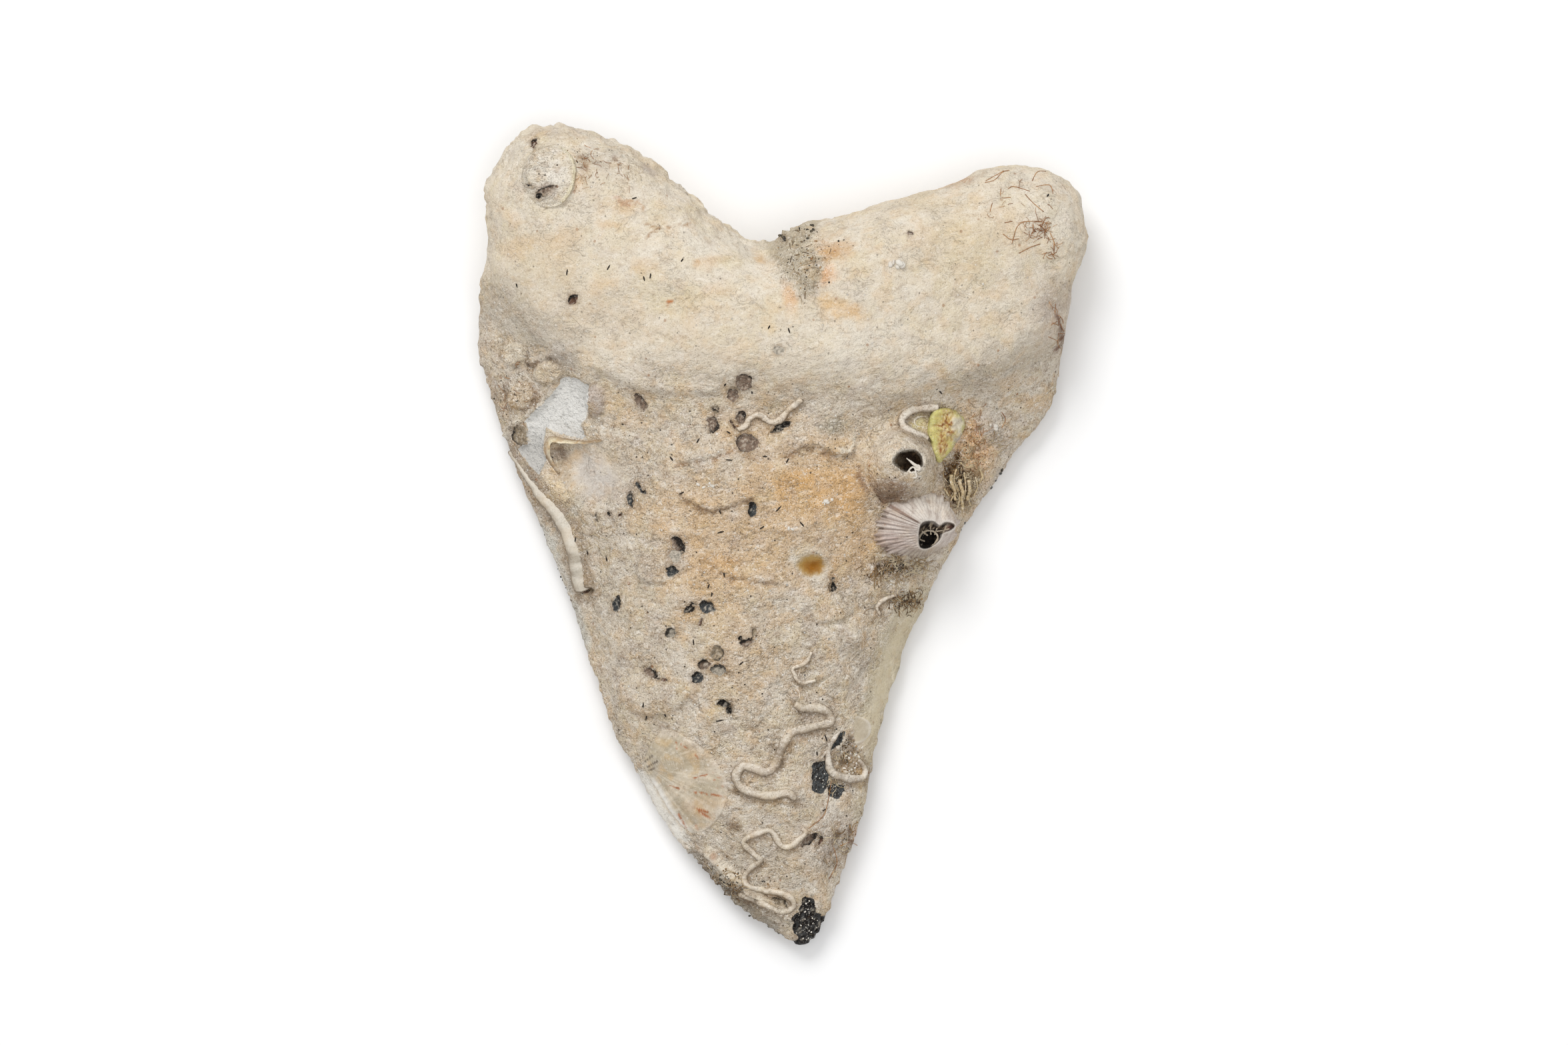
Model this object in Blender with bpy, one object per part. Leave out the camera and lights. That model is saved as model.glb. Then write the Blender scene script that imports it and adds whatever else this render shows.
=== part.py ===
"""A fossil shark tooth lying on its flatter face, with the barnacles, tubes and shells that grew on it.

Metres, +Z up. The two root lobes are towards +Y, the point is towards -Y and the bulged face looks up.
Places and sizes below are millimetres from the middle of the outline; MM turns them to metres.
"""

import math

import bmesh
import bpy
import numpy as np
from mathutils import Vector, noise
from mathutils.bvhtree import BVHTree

MM = 0.001

# Driving dimensions of the tooth.
ROOT_HEIGHT = 20.0
LOBE_HEIGHT = 14.5
RIM_OF_CROWN = 2.4
RIM_OF_ROOT = 6.5
ROOT_ROLL = 10.0
BELLY_ROLL = 11.0
BORDER_SOFTNESS = 4.6
REST_SPOT = (0.0, 15.0)
REST_RADIUS = 11.0
ARCH_LIFT = 0.9

# Height of the crown's middle above the rest face, at places along Y.
CREST_Y = (-51.0, -44.0, -34.0, -20.0, 0.0, 22.0)
CREST_HEIGHT = (4.6, 7.4, 10.0, 12.6, 15.0, 16.8)

# How fine the modelled skin is, and how many triangles are kept of it.
COLUMNS = 84
ROWS = 112
EDGE_CROWDING = 0.6
TOOTH_TRIANGLES = 5200

# The gap kept between the tooth and what sits on it, and how deep those pieces start below its skin.
SEAT_GAP = 0.35
SEAT_DEPTH = 2.0

LEFT_EDGE = (
    (1.2, -50.7), (-4.9, -46.9), (-10.0, -41.5), (-15.0, -35.5), (-19.5, -27.1),
    (-23.1, -18.8), (-25.8, -10.5), (-29.0, -2.1), (-32.4, 6.2), (-35.5, 14.5),
    (-37.9, 22.9), (-37.7, 31.2), (-36.6, 36.6), (-37.3, 42.5), (-36.6, 45.2),
)
RIGHT_EDGE = (
    (4.4, -50.4), (7.1, -44.5), (9.5, -37.5), (11.0, -31.3), (12.9, -23.0),
    (15.5, -14.6), (19.2, -6.3), (23.5, 2.0), (29.6, 10.4), (34.0, 16.6),
    (35.3, 22.9), (36.4, 30.4), (38.2, 36.2), (37.5, 42.8),
)
ROOT_EDGE = (
    (-36.6, 45.2), (-32.1, 50.5), (-27.3, 51.2), (-19.0, 48.8), (-13.7, 44.5),
    (-7.7, 39.5), (-4.2, 37.2), (-1.0, 36.6), (2.0, 38.0), (3.0, 39.5), (7.5, 40.0),
    (15.5, 42.4), (21.0, 44.0), (27.4, 46.3), (34.2, 45.5), (37.5, 42.8),
)
POINT_EDGE = ((1.2, -50.7), (2.8, -51.3), (4.4, -50.4))

# Where the thick root ends and the crown begins, as X and Y of a sagging line.
BORDER_X = (-37.6, -31.0, -23.5, 0.0, 19.0, 27.4, 34.9)
BORDER_Y = (31.2, 25.4, 20.4, 18.4, 18.9, 20.8, 23.3)

# The same border on the underside, an arch with a groove along it.
LOWER_BORDER = ((-37.0, 24.0), (-24.0, 30.0), (-9.0, 31.5), (9.0, 31.5), (24.0, 31.0), (36.0, 26.0))
LOWER_STEP = 0.8

# Pits and borings: centre X and Y, half width, half height, depth.
PITS = (
    (-17.8, 16.9, 0.8, 1.3, 0.9), (-4.5, 19.2, 1.2, 1.2, 1.0), (-6.0, 17.6, 0.9, 0.9, 1.0),
    (-8.5, 14.0, 0.5, 0.7, 0.8), (-5.0, 14.9, 0.9, 0.9, 1.2), (-4.2, 11.8, 1.5, 1.3, 1.3),
    (0.0, 13.9, 1.2, 0.6, 1.0), (-0.3, 23.1, 0.7, 0.7, 0.6), (-3.6, 3.5, 0.7, 1.0, 1.1),
    (-12.9, -1.0, 1.0, 1.2, 1.1), (-13.8, -4.4, 0.9, 0.8, 1.0), (-20.6, -8.3, 0.7, 1.1, 0.9),
    (-11.6, -9.0, 0.8, 0.5, 0.8), (-9.4, -8.9, 1.1, 0.9, 1.0), (-13.8, -11.9, 0.8, 0.7, 0.9),
    (-8.0, -14.5, 1.1, 1.1, 1.1), (-9.5, -16.0, 0.9, 0.9, 1.0), (-8.0, -16.5, 0.8, 0.7, 1.0),
    (-10.5, -17.5, 0.8, 0.8, 1.2), (-16.2, -17.2, 1.0, 0.6, 0.9), (-7.0, -21.0, 1.0, 1.0, 1.2),
    (-18.9, 4.6, 0.5, 1.0, 1.0), (6.5, -6.0, 0.6, 0.9, 1.0), (3.5, -37.8, 1.2, 0.8, 1.0),
    (-25.9, 29.5, 0.8, 0.8, 1.0), (-4.9, -13.0, 0.9, 0.8, 0.8), (-24.2, -6.9, 0.6, 0.6, 0.9),
)

# Windows where the crust is gone and the enamel shows: centre X and Y, half width, half height, depth.
WINDOWS = (
    (7.2, -25.3, 0.9, 1.0, 0.5), (4.9, -30.0, 1.1, 2.0, 0.6), (6.7, -31.6, 1.2, 1.0, 0.6),
    (3.4, -48.4, 2.2, 2.8, 0.5), (-26.6, 15.4, 2.6, 3.6, 0.5), (-30.4, 9.6, 1.3, 2.2, 0.4),
)

# Swellings of the crust: centre X and Y, half width, half height, rise.
LUMPS = (
    (2.5, 34.0, 3.4, 4.6, 0.9), (-23.1, 16.9, 1.3, 2.2, 0.9), (-32.8, 12.5, 1.6, 2.0, 0.7),
    (15.5, 8.0, 7.5, 7.0, 1.3), (16.5, 0.5, 6.5, 5.0, 0.9), (-29.0, 45.4, 5.4, 5.8, 0.7),
    (14.5, 36.8, 1.3, 0.8, 0.6), (26.5, 36.0, 6.0, 5.0, 0.5), (-20.0, 33.0, 9.0, 6.0, 0.6),
    (4.0, 4.0, 11.0, 6.0, 0.6), (-10.5, 10.5, 6.0, 4.0, 0.5), (6.0, -12.0, 6.0, 7.0, 0.5),
    (17.0, 38.5, 6.0, 3.5, 0.5), (4.5, -2.5, 1.8, 1.4, 0.5), (-19.0, -12.0, 4.0, 6.0, 0.4),
    (13.5, -1.0, 3.0, 2.5, 0.5), (-9.5, 6.5, 1.6, 1.4, 0.4), (5.6, 4.0, 1.5, 1.2, 0.4),
)

# Where a thin shell or growth covers the crust and keeps it even: centre X and Y, half width, half height.
CALM_SPOTS = ((-12.0, -31.0, 9.0, 9.5), (20.9, 13.4, 4.5, 5.0))

# Low ridges of the crust, broken shell edges among them: route, width, rise.
RIDGES = (
    (((9.0, 12.7), (8.0, 10.8), (6.3, 11.1), (4.0, 11.3), (0.9, 10.0)), 1.3, 0.8),
    (((-17.5, -3.7), (-17.5, -4.8), (-16.5, -5.5), (-14.4, -5.3)), 0.8, 0.6),
    (((-11.7, 0.2), (-10.6, 0.5), (-9.8, 0.0), (-9.0, -1.2)), 0.8, 0.6),
    (((-31.0, 21.9), (-28.6, 22.8), (-25.5, 25.8), (-23.9, 25.4)), 0.8, 0.6),
    (((-34.4, 12.0), (-33.8, 14.4), (-31.7, 15.1), (-31.0, 16.1)), 0.9, 0.7),
    (((-9.8, -39.6), (-7.6, -41.3), (-4.4, -43.2)), 0.9, 0.7),
    (((-24.0, 21.5), (-16.0, 18.8), (-8.0, 18.4)), 1.2, 0.3),
    (((8.0, -18.0), (11.5, -14.0), (14.0, -9.0)), 1.4, 0.4),
)

# Routes of the worm tubes over the skin, and their radii.
TUBES = {
    "tube_centre": (
        0.42,
        (
            (-5.4, 13.2), (-4.4, 13.7), (-4.0, 14.5), (-3.3, 15.0), (-2.5, 15.0),
            (-1.5, 14.3), (-0.6, 14.2), (0.2, 14.8), (1.0, 15.7), (2.6, 17.0),
        ),
    ),
    "tube_large": (
        0.48,
        (
            (1.7, -20.9), (2.8, -21.5), (4.2, -21.4), (5.5, -21.8), (6.1, -22.5),
            (6.0, -23.3), (3.8, -23.8), (1.8, -24.3), (0.7, -25.2), (0.0, -26.6),
            (-0.7, -28.4), (-1.8, -29.4), (-3.3, -29.0), (-4.7, -28.7), (-5.5, -29.5),
            (-5.6, -30.3), (-5.0, -31.3), (-3.5, -32.0), (-1.5, -32.4), (0.7, -32.1),
            (1.8, -32.8),
        ),
    ),
    "tube_lower": (
        0.42,
        (
            (2.6, -36.5), (3.0, -37.1), (2.1, -38.1), (1.0, -38.8), (0.0, -38.6),
            (-1.2, -36.9), (-2.1, -36.9), (-3.7, -37.5), (-4.7, -38.3), (-3.4, -39.7),
            (-2.6, -40.5), (-3.7, -41.5), (-4.5, -42.5), (-4.5, -43.4), (-3.7, -44.0),
            (-1.8, -44.4), (0.0, -44.7), (1.2, -45.3), (1.6, -46.2), (0.9, -46.9),
            (-0.2, -47.0), (-1.2, -46.5), (-3.3, -45.6), (-5.2, -44.9),
        ),
    ),
    "tube_edge": (
        0.75,
        (
            (-33.6, 10.3), (-32.0, 8.1), (-29.9, 5.2), (-27.6, 2.9), (-26.3, 0.4),
            (-25.5, -2.5), (-25.0, -5.0), (-24.6, -6.0),
        ),
    ),
    "tube_small": (
        0.34,
        ((3.8, -14.4), (3.3, -15.5), (2.5, -16.1), (1.5, -16.5), (1.7, -17.2), (2.5, -18.3), (4.3, -18.0)),
    ),
    "tube_arc": (0.4, ((14.4, -7.4), (13.0, -7.8), (12.0, -8.8), (12.4, -9.9))),
    "coiled_ring": (
        0.62,
        ((19.0, 16.4), (17.0, 16.3), (15.6, 15.6), (14.8, 14.7), (15.2, 13.8), (16.4, 13.4), (17.6, 13.3)),
    ),
    "coiled_shell": (
        0.55,
        ((6.0, -25.8), (5.8, -28.1), (6.3, -29.7), (7.9, -30.5), (9.6, -30.4), (10.4, -29.2), (9.6, -28.0)),
    ),
}
TUFT_TUBES = (
    ((21.2, 7.6), (21.5, 6.3), (21.9, 4.4)),
    ((22.4, 7.0), (22.7, 5.0), (22.6, 3.3)),
    ((23.6, 6.9), (23.4, 4.4)),
)

OYSTER_WALL = (
    (-22.4, 12.0), (-24.3, 11.8), (-26.8, 12.1), (-28.8, 12.4), (-29.5, 11.4),
    (-29.2, 9.8), (-28.4, 8.6),
)
YELLOW_OUTLINE = (
    (18.8, 15.2), (20.2, 15.9), (21.9, 15.8), (22.8, 14.5), (22.8, 12.7), (21.9, 11.4),
    (20.9, 10.6), (20.2, 11.2), (19.3, 12.3), (18.5, 13.6),
)
FAN_OUTLINE = (
    (-16.9, -28.8), (-15.9, -26.3), (-14.4, -24.1), (-11.0, -26.1), (-8.5, -28.8),
    (-7.2, -31.3), (-8.3, -34.8), (-10.6, -37.0), (-12.9, -35.6), (-15.5, -31.8),
)
FAN_HINGE = (-16.4, -28.9)

# The pieces' colours as linear RGB, and their roughness.
FINISHES = {
    "tooth": ((0.58, 0.47, 0.34), 0.85),
    "barnacle_round": ((0.56, 0.44, 0.31), 0.8),
    "barnacle_ribbed": ((0.50, 0.42, 0.38), 0.75),
    "barnacle_low": ((0.66, 0.57, 0.45), 0.8),
    "coiled_ring": ((0.75, 0.68, 0.55), 0.6),
    "yellow_growth": ((0.72, 0.62, 0.20), 0.7),
    "oyster_cup": ((0.70, 0.60, 0.42), 0.6),
    "fan_shell": ((0.66, 0.56, 0.43), 0.5),
    "coiled_shell": ((0.72, 0.68, 0.60), 0.6),
    "tube_tuft": ((0.52, 0.42, 0.28), 0.85),
}
TUBE_FINISH = ((0.66, 0.56, 0.42), 0.7)


def clear_scene():
    for obj in list(bpy.data.objects):
        bpy.data.objects.remove(obj, do_unlink=True)


def finish(name):
    colour, roughness = FINISHES.get(name, TUBE_FINISH)
    material = bpy.data.materials.new(name + "_surface")
    material.use_nodes = True
    shader = material.node_tree.nodes["Principled BSDF"]
    shader.inputs["Base Color"].default_value = (*colour, 1.0)
    shader.inputs["Roughness"].default_value = roughness
    shader.inputs["Metallic"].default_value = 0.0
    return material


def put_in_scene(name, mesh):
    obj = bpy.data.objects.new(name, mesh)
    bpy.context.scene.collection.objects.link(obj)
    mesh.materials.append(finish(name))
    mesh.shade_smooth()
    return obj


def mesh_of(name, bm):
    bmesh.ops.recalc_face_normals(bm, faces=bm.faces)
    mesh = bpy.data.meshes.new(name)
    bm.to_mesh(mesh)
    bm.free()
    return mesh


def smooth_step(low, high, value):
    t = np.clip((value - low) / (high - low), 0.0, 1.0)
    return t * t * (3.0 - 2.0 * t)


def spline(points, closed=False, steps=10):
    """A smooth curve through the points, as an array of X and Y."""
    route = np.array(points, float)
    if closed:
        ends = (route[-1], route[0], route[1])
        route = np.vstack([ends[0], route, ends[1], ends[2]])
    else:
        route = np.vstack([2 * route[0] - route[1], route, 2 * route[-1] - route[-2]])
    t = np.linspace(0.0, 1.0, steps, endpoint=False)[:, None]
    pieces = []
    for a, b, c, d in zip(route, route[1:], route[2:], route[3:]):
        pieces.append(
            0.5 * (2 * b + (c - a) * t + (2 * a - 5 * b + 4 * c - d) * t**2 + (3 * b - a - 3 * c + d) * t**3)
        )
    if not closed:
        pieces.append(route[-2][None])
    return np.vstack(pieces)


def along(path, fractions):
    """Points of the path at these fractions of its length."""
    steps = np.linalg.norm(np.diff(path, axis=0), axis=1)
    reached = np.concatenate([[0.0], np.cumsum(steps)]) / steps.sum()
    return np.stack([np.interp(fractions, reached, path[:, k]) for k in range(path.shape[1])], -1)


def distance_to(path, points):
    """How far each point is from the path, in the plan."""
    start, end = path[:-1], path[1:]
    run = end - start
    length = np.maximum((run**2).sum(axis=1), 1e-9)
    nearest = np.full(len(points), np.inf)
    for a, r, size in zip(start, run, length):
        offset = points - a
        t = np.clip(offset @ r / size, 0.0, 1.0)
        nearest = np.minimum(nearest, np.linalg.norm(offset - t[:, None] * r, axis=1))
    return nearest


def plan_of(across, upward):
    """Places on the plan for two grid fractions, blended from the four edges."""
    left, right = along(spline(LEFT_EDGE), upward), along(spline(RIGHT_EDGE), upward)
    point, root = along(spline(POINT_EDGE), across), along(spline(ROOT_EDGE), across)
    u, v = across[:, None], upward[:, None]
    corners = (
        (1 - u) * (1 - v) * np.array(LEFT_EDGE[0])
        + u * (1 - v) * np.array(RIGHT_EDGE[0])
        + (1 - u) * v * np.array(LEFT_EDGE[-1])
        + u * v * np.array(RIGHT_EDGE[-1])
    )
    return (1 - u) * left + u * right + (1 - v) * point + v * root - corners


def half_width(y):
    left, right = spline(LEFT_EDGE), spline(RIGHT_EDGE)
    return 0.5 * (np.interp(y, right[:, 1], right[:, 0]) - np.interp(y, left[:, 1], left[:, 0]))


def round_over(distance, reach, power):
    """Rises from 0 at the rim to 1 at the reach, steep at first."""
    t = np.clip(distance / reach, 0.0, 1.0)
    return (1.0 - (1.0 - t) ** 2) ** power


def form_of(plan, rim_distance):
    """Heights of the upper skin and of the underside at these places."""
    x, y = plan[:, 0], plan[:, 1]
    root = smooth_step(-BORDER_SOFTNESS, BORDER_SOFTNESS, y - np.interp(x, BORDER_X, BORDER_Y))
    crest = np.interp(y, CREST_Y, CREST_HEIGHT)
    root_crest = ROOT_HEIGHT - (ROOT_HEIGHT - LOBE_HEIGHT) * smooth_step(4.0, 34.0, np.abs(x))
    arch = ARCH_LIFT * smooth_step(REST_RADIUS, 48.0, np.hypot(x - REST_SPOT[0], y - REST_SPOT[1]))
    rim = RIM_OF_CROWN + (RIM_OF_ROOT - RIM_OF_CROWN) * root + arch
    crown_top = rim + (crest - rim) * round_over(rim_distance, 0.92 * half_width(y), 0.8)
    root_top = rim + (root_crest - rim) * round_over(rim_distance, ROOT_ROLL, 0.5)
    top = crown_top + (root_top - crown_top) * root
    belly = rim + (arch - rim) * round_over(rim_distance, BELLY_ROLL, 0.6)
    return top, belly


def rough(places, scale, seed):
    """Lumpy noise between about -1 and 1 at these places."""
    return np.array([noise.noise(Vector(p) / scale + Vector((seed, 0.0, 0.0))) for p in places])


def bowl(plan, x, y, half_x, half_y):
    """1 in the middle of an ellipse, 0 outside it."""
    reach = np.hypot((plan[:, 0] - x) / half_x, (plan[:, 1] - y) / half_y)
    return 1.0 - smooth_step(0.35, 1.15, reach)


def upper_relief(places):
    """How far the crust of the upper face stands out or is eaten away."""
    plan = places[:, :2]
    rise = 0.55 * rough(places, 8.0, 3.0) + 0.34 * rough(places, 3.6, 7.0) + 0.2 * rough(places, 1.9, 11.0)
    for x, y, half_x, half_y in CALM_SPOTS:
        rise *= 1.0 - 0.8 * bowl(plan, x, y, half_x, half_y)
    for x, y, half_x, half_y, height in LUMPS:
        rise += height * bowl(plan, x, y, half_x, half_y)
    for route, width, height in RIDGES:
        rise += height * (1.0 - smooth_step(0.0, width, distance_to(spline(route), plan)))
    for x, y, half_x, half_y, depth in PITS + WINDOWS:
        rise -= depth * bowl(plan, x, y, half_x, half_y)
    return rise


def lower_relief(places):
    """The underside's crust and the step where its enamel begins, none of it on the rest spot."""
    away = np.hypot(places[:, 0] - REST_SPOT[0], places[:, 1] - REST_SPOT[1])
    rise = 0.5 * rough(places, 9.0, 23.0) + 0.3 * rough(places, 4.0, 29.0)
    enamel = distance_to(spline(LOWER_BORDER), places[:, :2])
    rise -= LOWER_STEP * (1.0 - smooth_step(0.4, 2.4, enamel))
    return rise * smooth_step(REST_RADIUS - 2.0, REST_RADIUS + 4.0, away)


def crowded(fraction):
    """Fractions pulled towards 0 and 1, where the skin turns over the rim."""
    return (1 - EDGE_CROWDING) * fraction + EDGE_CROWDING * (0.5 - 0.5 * np.cos(np.pi * fraction))


def skin_grid(bm):
    """Adds one grid and returns its vertices with their fractions across and upward."""
    made = bmesh.ops.create_grid(bm, x_segments=COLUMNS, y_segments=ROWS, size=0.5)["verts"]
    grid = np.array([v.co[:2] for v in made]) + 0.5
    return made, crowded(grid[:, 0]), crowded(grid[:, 1])


def tooth_skin():
    """The upper skin and the underside, welded at the rim."""
    bm = bmesh.new()
    rim = np.vstack([spline(LEFT_EDGE), spline(ROOT_EDGE), spline(RIGHT_EDGE)[::-1], spline(POINT_EDGE)[::-1]])
    for underside in (False, True):
        verts, across, upward = skin_grid(bm)
        plan = plan_of(across, upward)
        inside = np.minimum.reduce([across, 1 - across, upward, 1 - upward]) > 1e-6
        top, belly = form_of(plan, distance_to(rim, plan) * inside)
        heights = belly if underside else top
        for vert, (x, y), z in zip(verts, plan, heights):
            vert.co = (x * MM, y * MM, z * MM)
    bmesh.ops.remove_doubles(bm, verts=bm.verts, dist=1e-6)
    bmesh.ops.recalc_face_normals(bm, faces=bm.faces)
    return bm


def raise_relief(bm):
    """Moves the skin along its normals by its relief."""
    bm.normal_update()
    places = np.array([v.co[:] for v in bm.verts]) / MM
    facing = np.array([v.normal[:] for v in bm.verts])
    upper = smooth_step(-0.3, 0.3, facing[:, 2])
    rise = upper * upper_relief(places) + (1 - upper) * lower_relief(places)
    moved = places + facing * rise[:, None]
    moved[:, 2] = np.maximum(moved[:, 2], 0.0)
    for vert, place in zip(bm.verts, moved):
        vert.co = place * MM


def make_tooth():
    bm = tooth_skin()
    raise_relief(bm)
    triangles = 2 * len(bm.faces)
    tooth = put_in_scene("tooth", mesh_of("tooth", bm))
    thin = tooth.modifiers.new("fewer faces", "DECIMATE")
    thin.ratio = TOOTH_TRIANGLES / triangles
    return tooth


def seat_for(tooth):
    """A raised copy of the tooth that cuts the underside of each piece sitting on it."""
    graph = bpy.context.evaluated_depsgraph_get()
    mesh = bpy.data.meshes.new_from_object(tooth.evaluated_get(graph))
    seat = bpy.data.objects.new("seat", mesh)
    bpy.context.scene.collection.objects.link(seat)
    seat.location.z = SEAT_GAP * MM
    seat.hide_render = True
    seat.display_type = "WIRE"
    return seat


class Ground:
    """The tooth's upper skin, for setting pieces down on it."""

    def __init__(self, seat):
        mesh = seat.data
        corners = [v.co for v in mesh.vertices]
        self.tree = BVHTree.FromPolygons(corners, [p.vertices for p in mesh.polygons])

    def height(self, x, y):
        hit = self.tree.ray_cast(Vector((x * MM, y * MM, 0.1)), Vector((0.0, 0.0, -1.0)))
        return hit[0].z / MM if hit[0] else 0.0

    def drape(self, plan, lift):
        return np.array([(x, y, self.height(x, y) + lift) for x, y in plan])

    def plane(self, place, reach):
        """The height here, and the slopes along X and Y over this reach."""
        x, y = place
        slope_x = (self.height(x + reach, y) - self.height(x - reach, y)) / (2 * reach)
        slope_y = (self.height(x, y + reach) - self.height(x, y - reach)) / (2 * reach)
        return self.height(x, y), (slope_x, slope_y)


def seated(obj, seat):
    """Cuts away what lies inside the tooth."""
    cut = obj.modifiers.new("seat", "BOOLEAN")
    cut.operation = "DIFFERENCE"
    cut.solver = "EXACT"
    cut.object = seat
    return obj


def clear_of(obj, name, rings):
    """Cuts the room that a neighbour needs."""
    room = bpy.data.objects.new(name, mesh_of(name, stack_rings(rings)))
    bpy.context.scene.collection.objects.link(room)
    room.hide_render = True
    room.display_type = "WIRE"
    cut = obj.modifiers.new(name, "BOOLEAN")
    cut.operation = "DIFFERENCE"
    cut.solver = "EXACT"
    cut.object = room


def stack_rings(rings):
    """A closed skin over rings of equal count, from the lowest outside ring to the last, both capped."""
    bm = bmesh.new()
    order = bm.verts.layers.int.new("order")
    bmesh.ops.create_circle(bm, segments=len(rings[0]), radius=MM)
    bm.verts.ensure_lookup_table()
    for index, vert in enumerate(bm.verts):
        vert[order] = index
        vert.co = Vector(rings[0][index]) * MM
    edges = bm.edges[:]
    first = edges
    for ring in rings[1:]:
        grown = bmesh.ops.extrude_edge_only(bm, edges=edges)["geom"]
        edges = [part for part in grown if isinstance(part, bmesh.types.BMEdge)]
        for vert in (part for part in grown if isinstance(part, bmesh.types.BMVert)):
            vert.co = Vector(ring[vert[order]]) * MM
    for loop in (first, edges):
        cap = bmesh.ops.edgeloop_fill(bm, edges=loop)["faces"]
        bmesh.ops.poke(bm, faces=cap)
    return bm


def cone_rings(ground, base, base_half, mouth, mouth_half, height, levels, ribs=(0, 0.0), grow=0.0):
    """Rings of a barnacle: each level gives how far it is from base to mouth, its height and its rib share."""
    count = 36 if ribs[0] else 22
    turn = np.linspace(0.0, 2 * math.pi, count, endpoint=False)
    foot, tilt = ground.plane(base, base_half[0])
    rings = []
    for closeness, rise, rib_share in levels:
        centre = np.array(base) + closeness * (np.array(mouth) - np.array(base))
        half = np.array(base_half) + closeness * (np.array(mouth_half) - np.array(base_half)) + grow
        swell = 1.0 + ribs[1] * rib_share * np.cos(ribs[0] * turn) + 0.03 * np.sin(3 * turn + 1.0)
        ring_x = centre[0] + half[0] * swell * np.cos(turn)
        ring_y = centre[1] + half[1] * swell * np.sin(turn)
        ring_z = foot + tilt[0] * (ring_x - base[0]) + tilt[1] * (ring_y - base[1]) + rise * height
        rings.append(list(zip(ring_x, ring_y, ring_z)))
    return rings


CONE_LEVELS = ((0.0, -0.6, 1.0), (0.0, 0.0, 1.0), (0.42, 0.5, 1.0), (0.8, 0.9, 0.9), (0.92, 1.0, 0.5))
HOLLOW_LEVELS = ((1.12, 0.97, 0.0), (1.2, 0.55, 0.0), (1.25, 0.3, 0.0))
ROOM_LEVELS = ((0.0, -0.9, 1.0), (0.0, 0.0, 1.0), (0.42, 0.5, 1.0), (0.9, 1.4, 0.5))

ROUND_BARNACLE = dict(
    base=(14.9, 8.4), base_half=(5.0, 4.9), mouth=(15.9, 9.1), mouth_half=(2.5, 2.3), height=4.2
)
RIBBED_BARNACLE = dict(
    base=(17.0, 1.2), base_half=(5.2, 3.7), mouth=(19.3, 0.6), mouth_half=(2.6, 2.1), height=4.0,
    ribs=(12, 0.035),
)
LOW_BARNACLE = dict(
    base=(-29.0, 44.9), base_half=(3.6, 4.2), mouth=(-29.2, 44.4), mouth_half=(1.4, 1.6), height=1.7
)


def make_barnacles(ground, seat):
    made = {}
    for name, shape in (("barnacle_round", ROUND_BARNACLE), ("barnacle_ribbed", RIBBED_BARNACLE)):
        rings = cone_rings(ground, levels=CONE_LEVELS + HOLLOW_LEVELS, **shape)
        made[name] = put_in_scene(name, mesh_of(name, stack_rings(rings)))
    clear_of(
        made["barnacle_ribbed"], "room_round", cone_rings(ground, levels=ROOM_LEVELS, grow=0.3, **ROUND_BARNACLE)
    )
    low_levels = ((0.0, -1.2, 1.0), (0.0, 0.1, 1.0), (0.35, 0.75, 1.0), (0.85, 1.0, 0.0), (1.2, 0.92, 0.0))
    rings = cone_rings(ground, levels=low_levels, **LOW_BARNACLE)
    made["barnacle_low"] = put_in_scene("barnacle_low", mesh_of("barnacle_low", stack_rings(rings)))
    for obj in made.values():
        seated(obj, seat)
    return made


def tube_object(name, path, radius, sides=2):
    """A closed round tube along the path, as a mesh."""
    curve = bpy.data.curves.new(name, "CURVE")
    curve.dimensions = "3D"
    curve.bevel_depth = radius * MM
    curve.bevel_resolution = sides - 1
    curve.use_fill_caps = True
    line = curve.splines.new("POLY")
    line.points.add(len(path) - 1)
    for point, place in zip(line.points, path):
        point.co = (*(np.array(place) * MM), 1.0)
    guide = bpy.data.objects.new(name + "_guide", curve)
    mesh = bpy.data.meshes.new_from_object(guide)
    bpy.data.objects.remove(guide)
    bm = bmesh.new()
    bm.from_mesh(mesh)
    bmesh.ops.remove_doubles(bm, verts=bm.verts, dist=1e-6)
    return mesh_of(name, bm)


def draped_route(ground, route, radius, spacing):
    """The route set down on the skin, a point every spacing, rising smoothly over small pits."""
    smooth = spline(route)
    length = np.linalg.norm(np.diff(smooth, axis=0), axis=1).sum()
    plan = along(smooth, np.linspace(0.0, 1.0, max(4, round(length / spacing))))
    path = ground.drape(plan, SEAT_GAP + 0.3 * radius)
    height = path[:, 2]
    ahead, behind = np.roll(height, -1), np.roll(height, 1)
    ahead[-1], behind[0] = height[-1], height[0]
    path[:, 2] = np.maximum(height, (ahead + height + behind) / 3.0)
    return path


def make_tubes(ground, seat):
    for name, (radius, route) in TUBES.items():
        path = draped_route(ground, route, radius, 2.6 * radius)
        tube = put_in_scene(name, tube_object(name, path, radius))
        if name == "coiled_ring":
            clear_of(tube, "room_round_ring", cone_rings(ground, levels=ROOM_LEVELS, grow=0.3, **ROUND_BARNACLE))
        seated(tube, seat)


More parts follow.
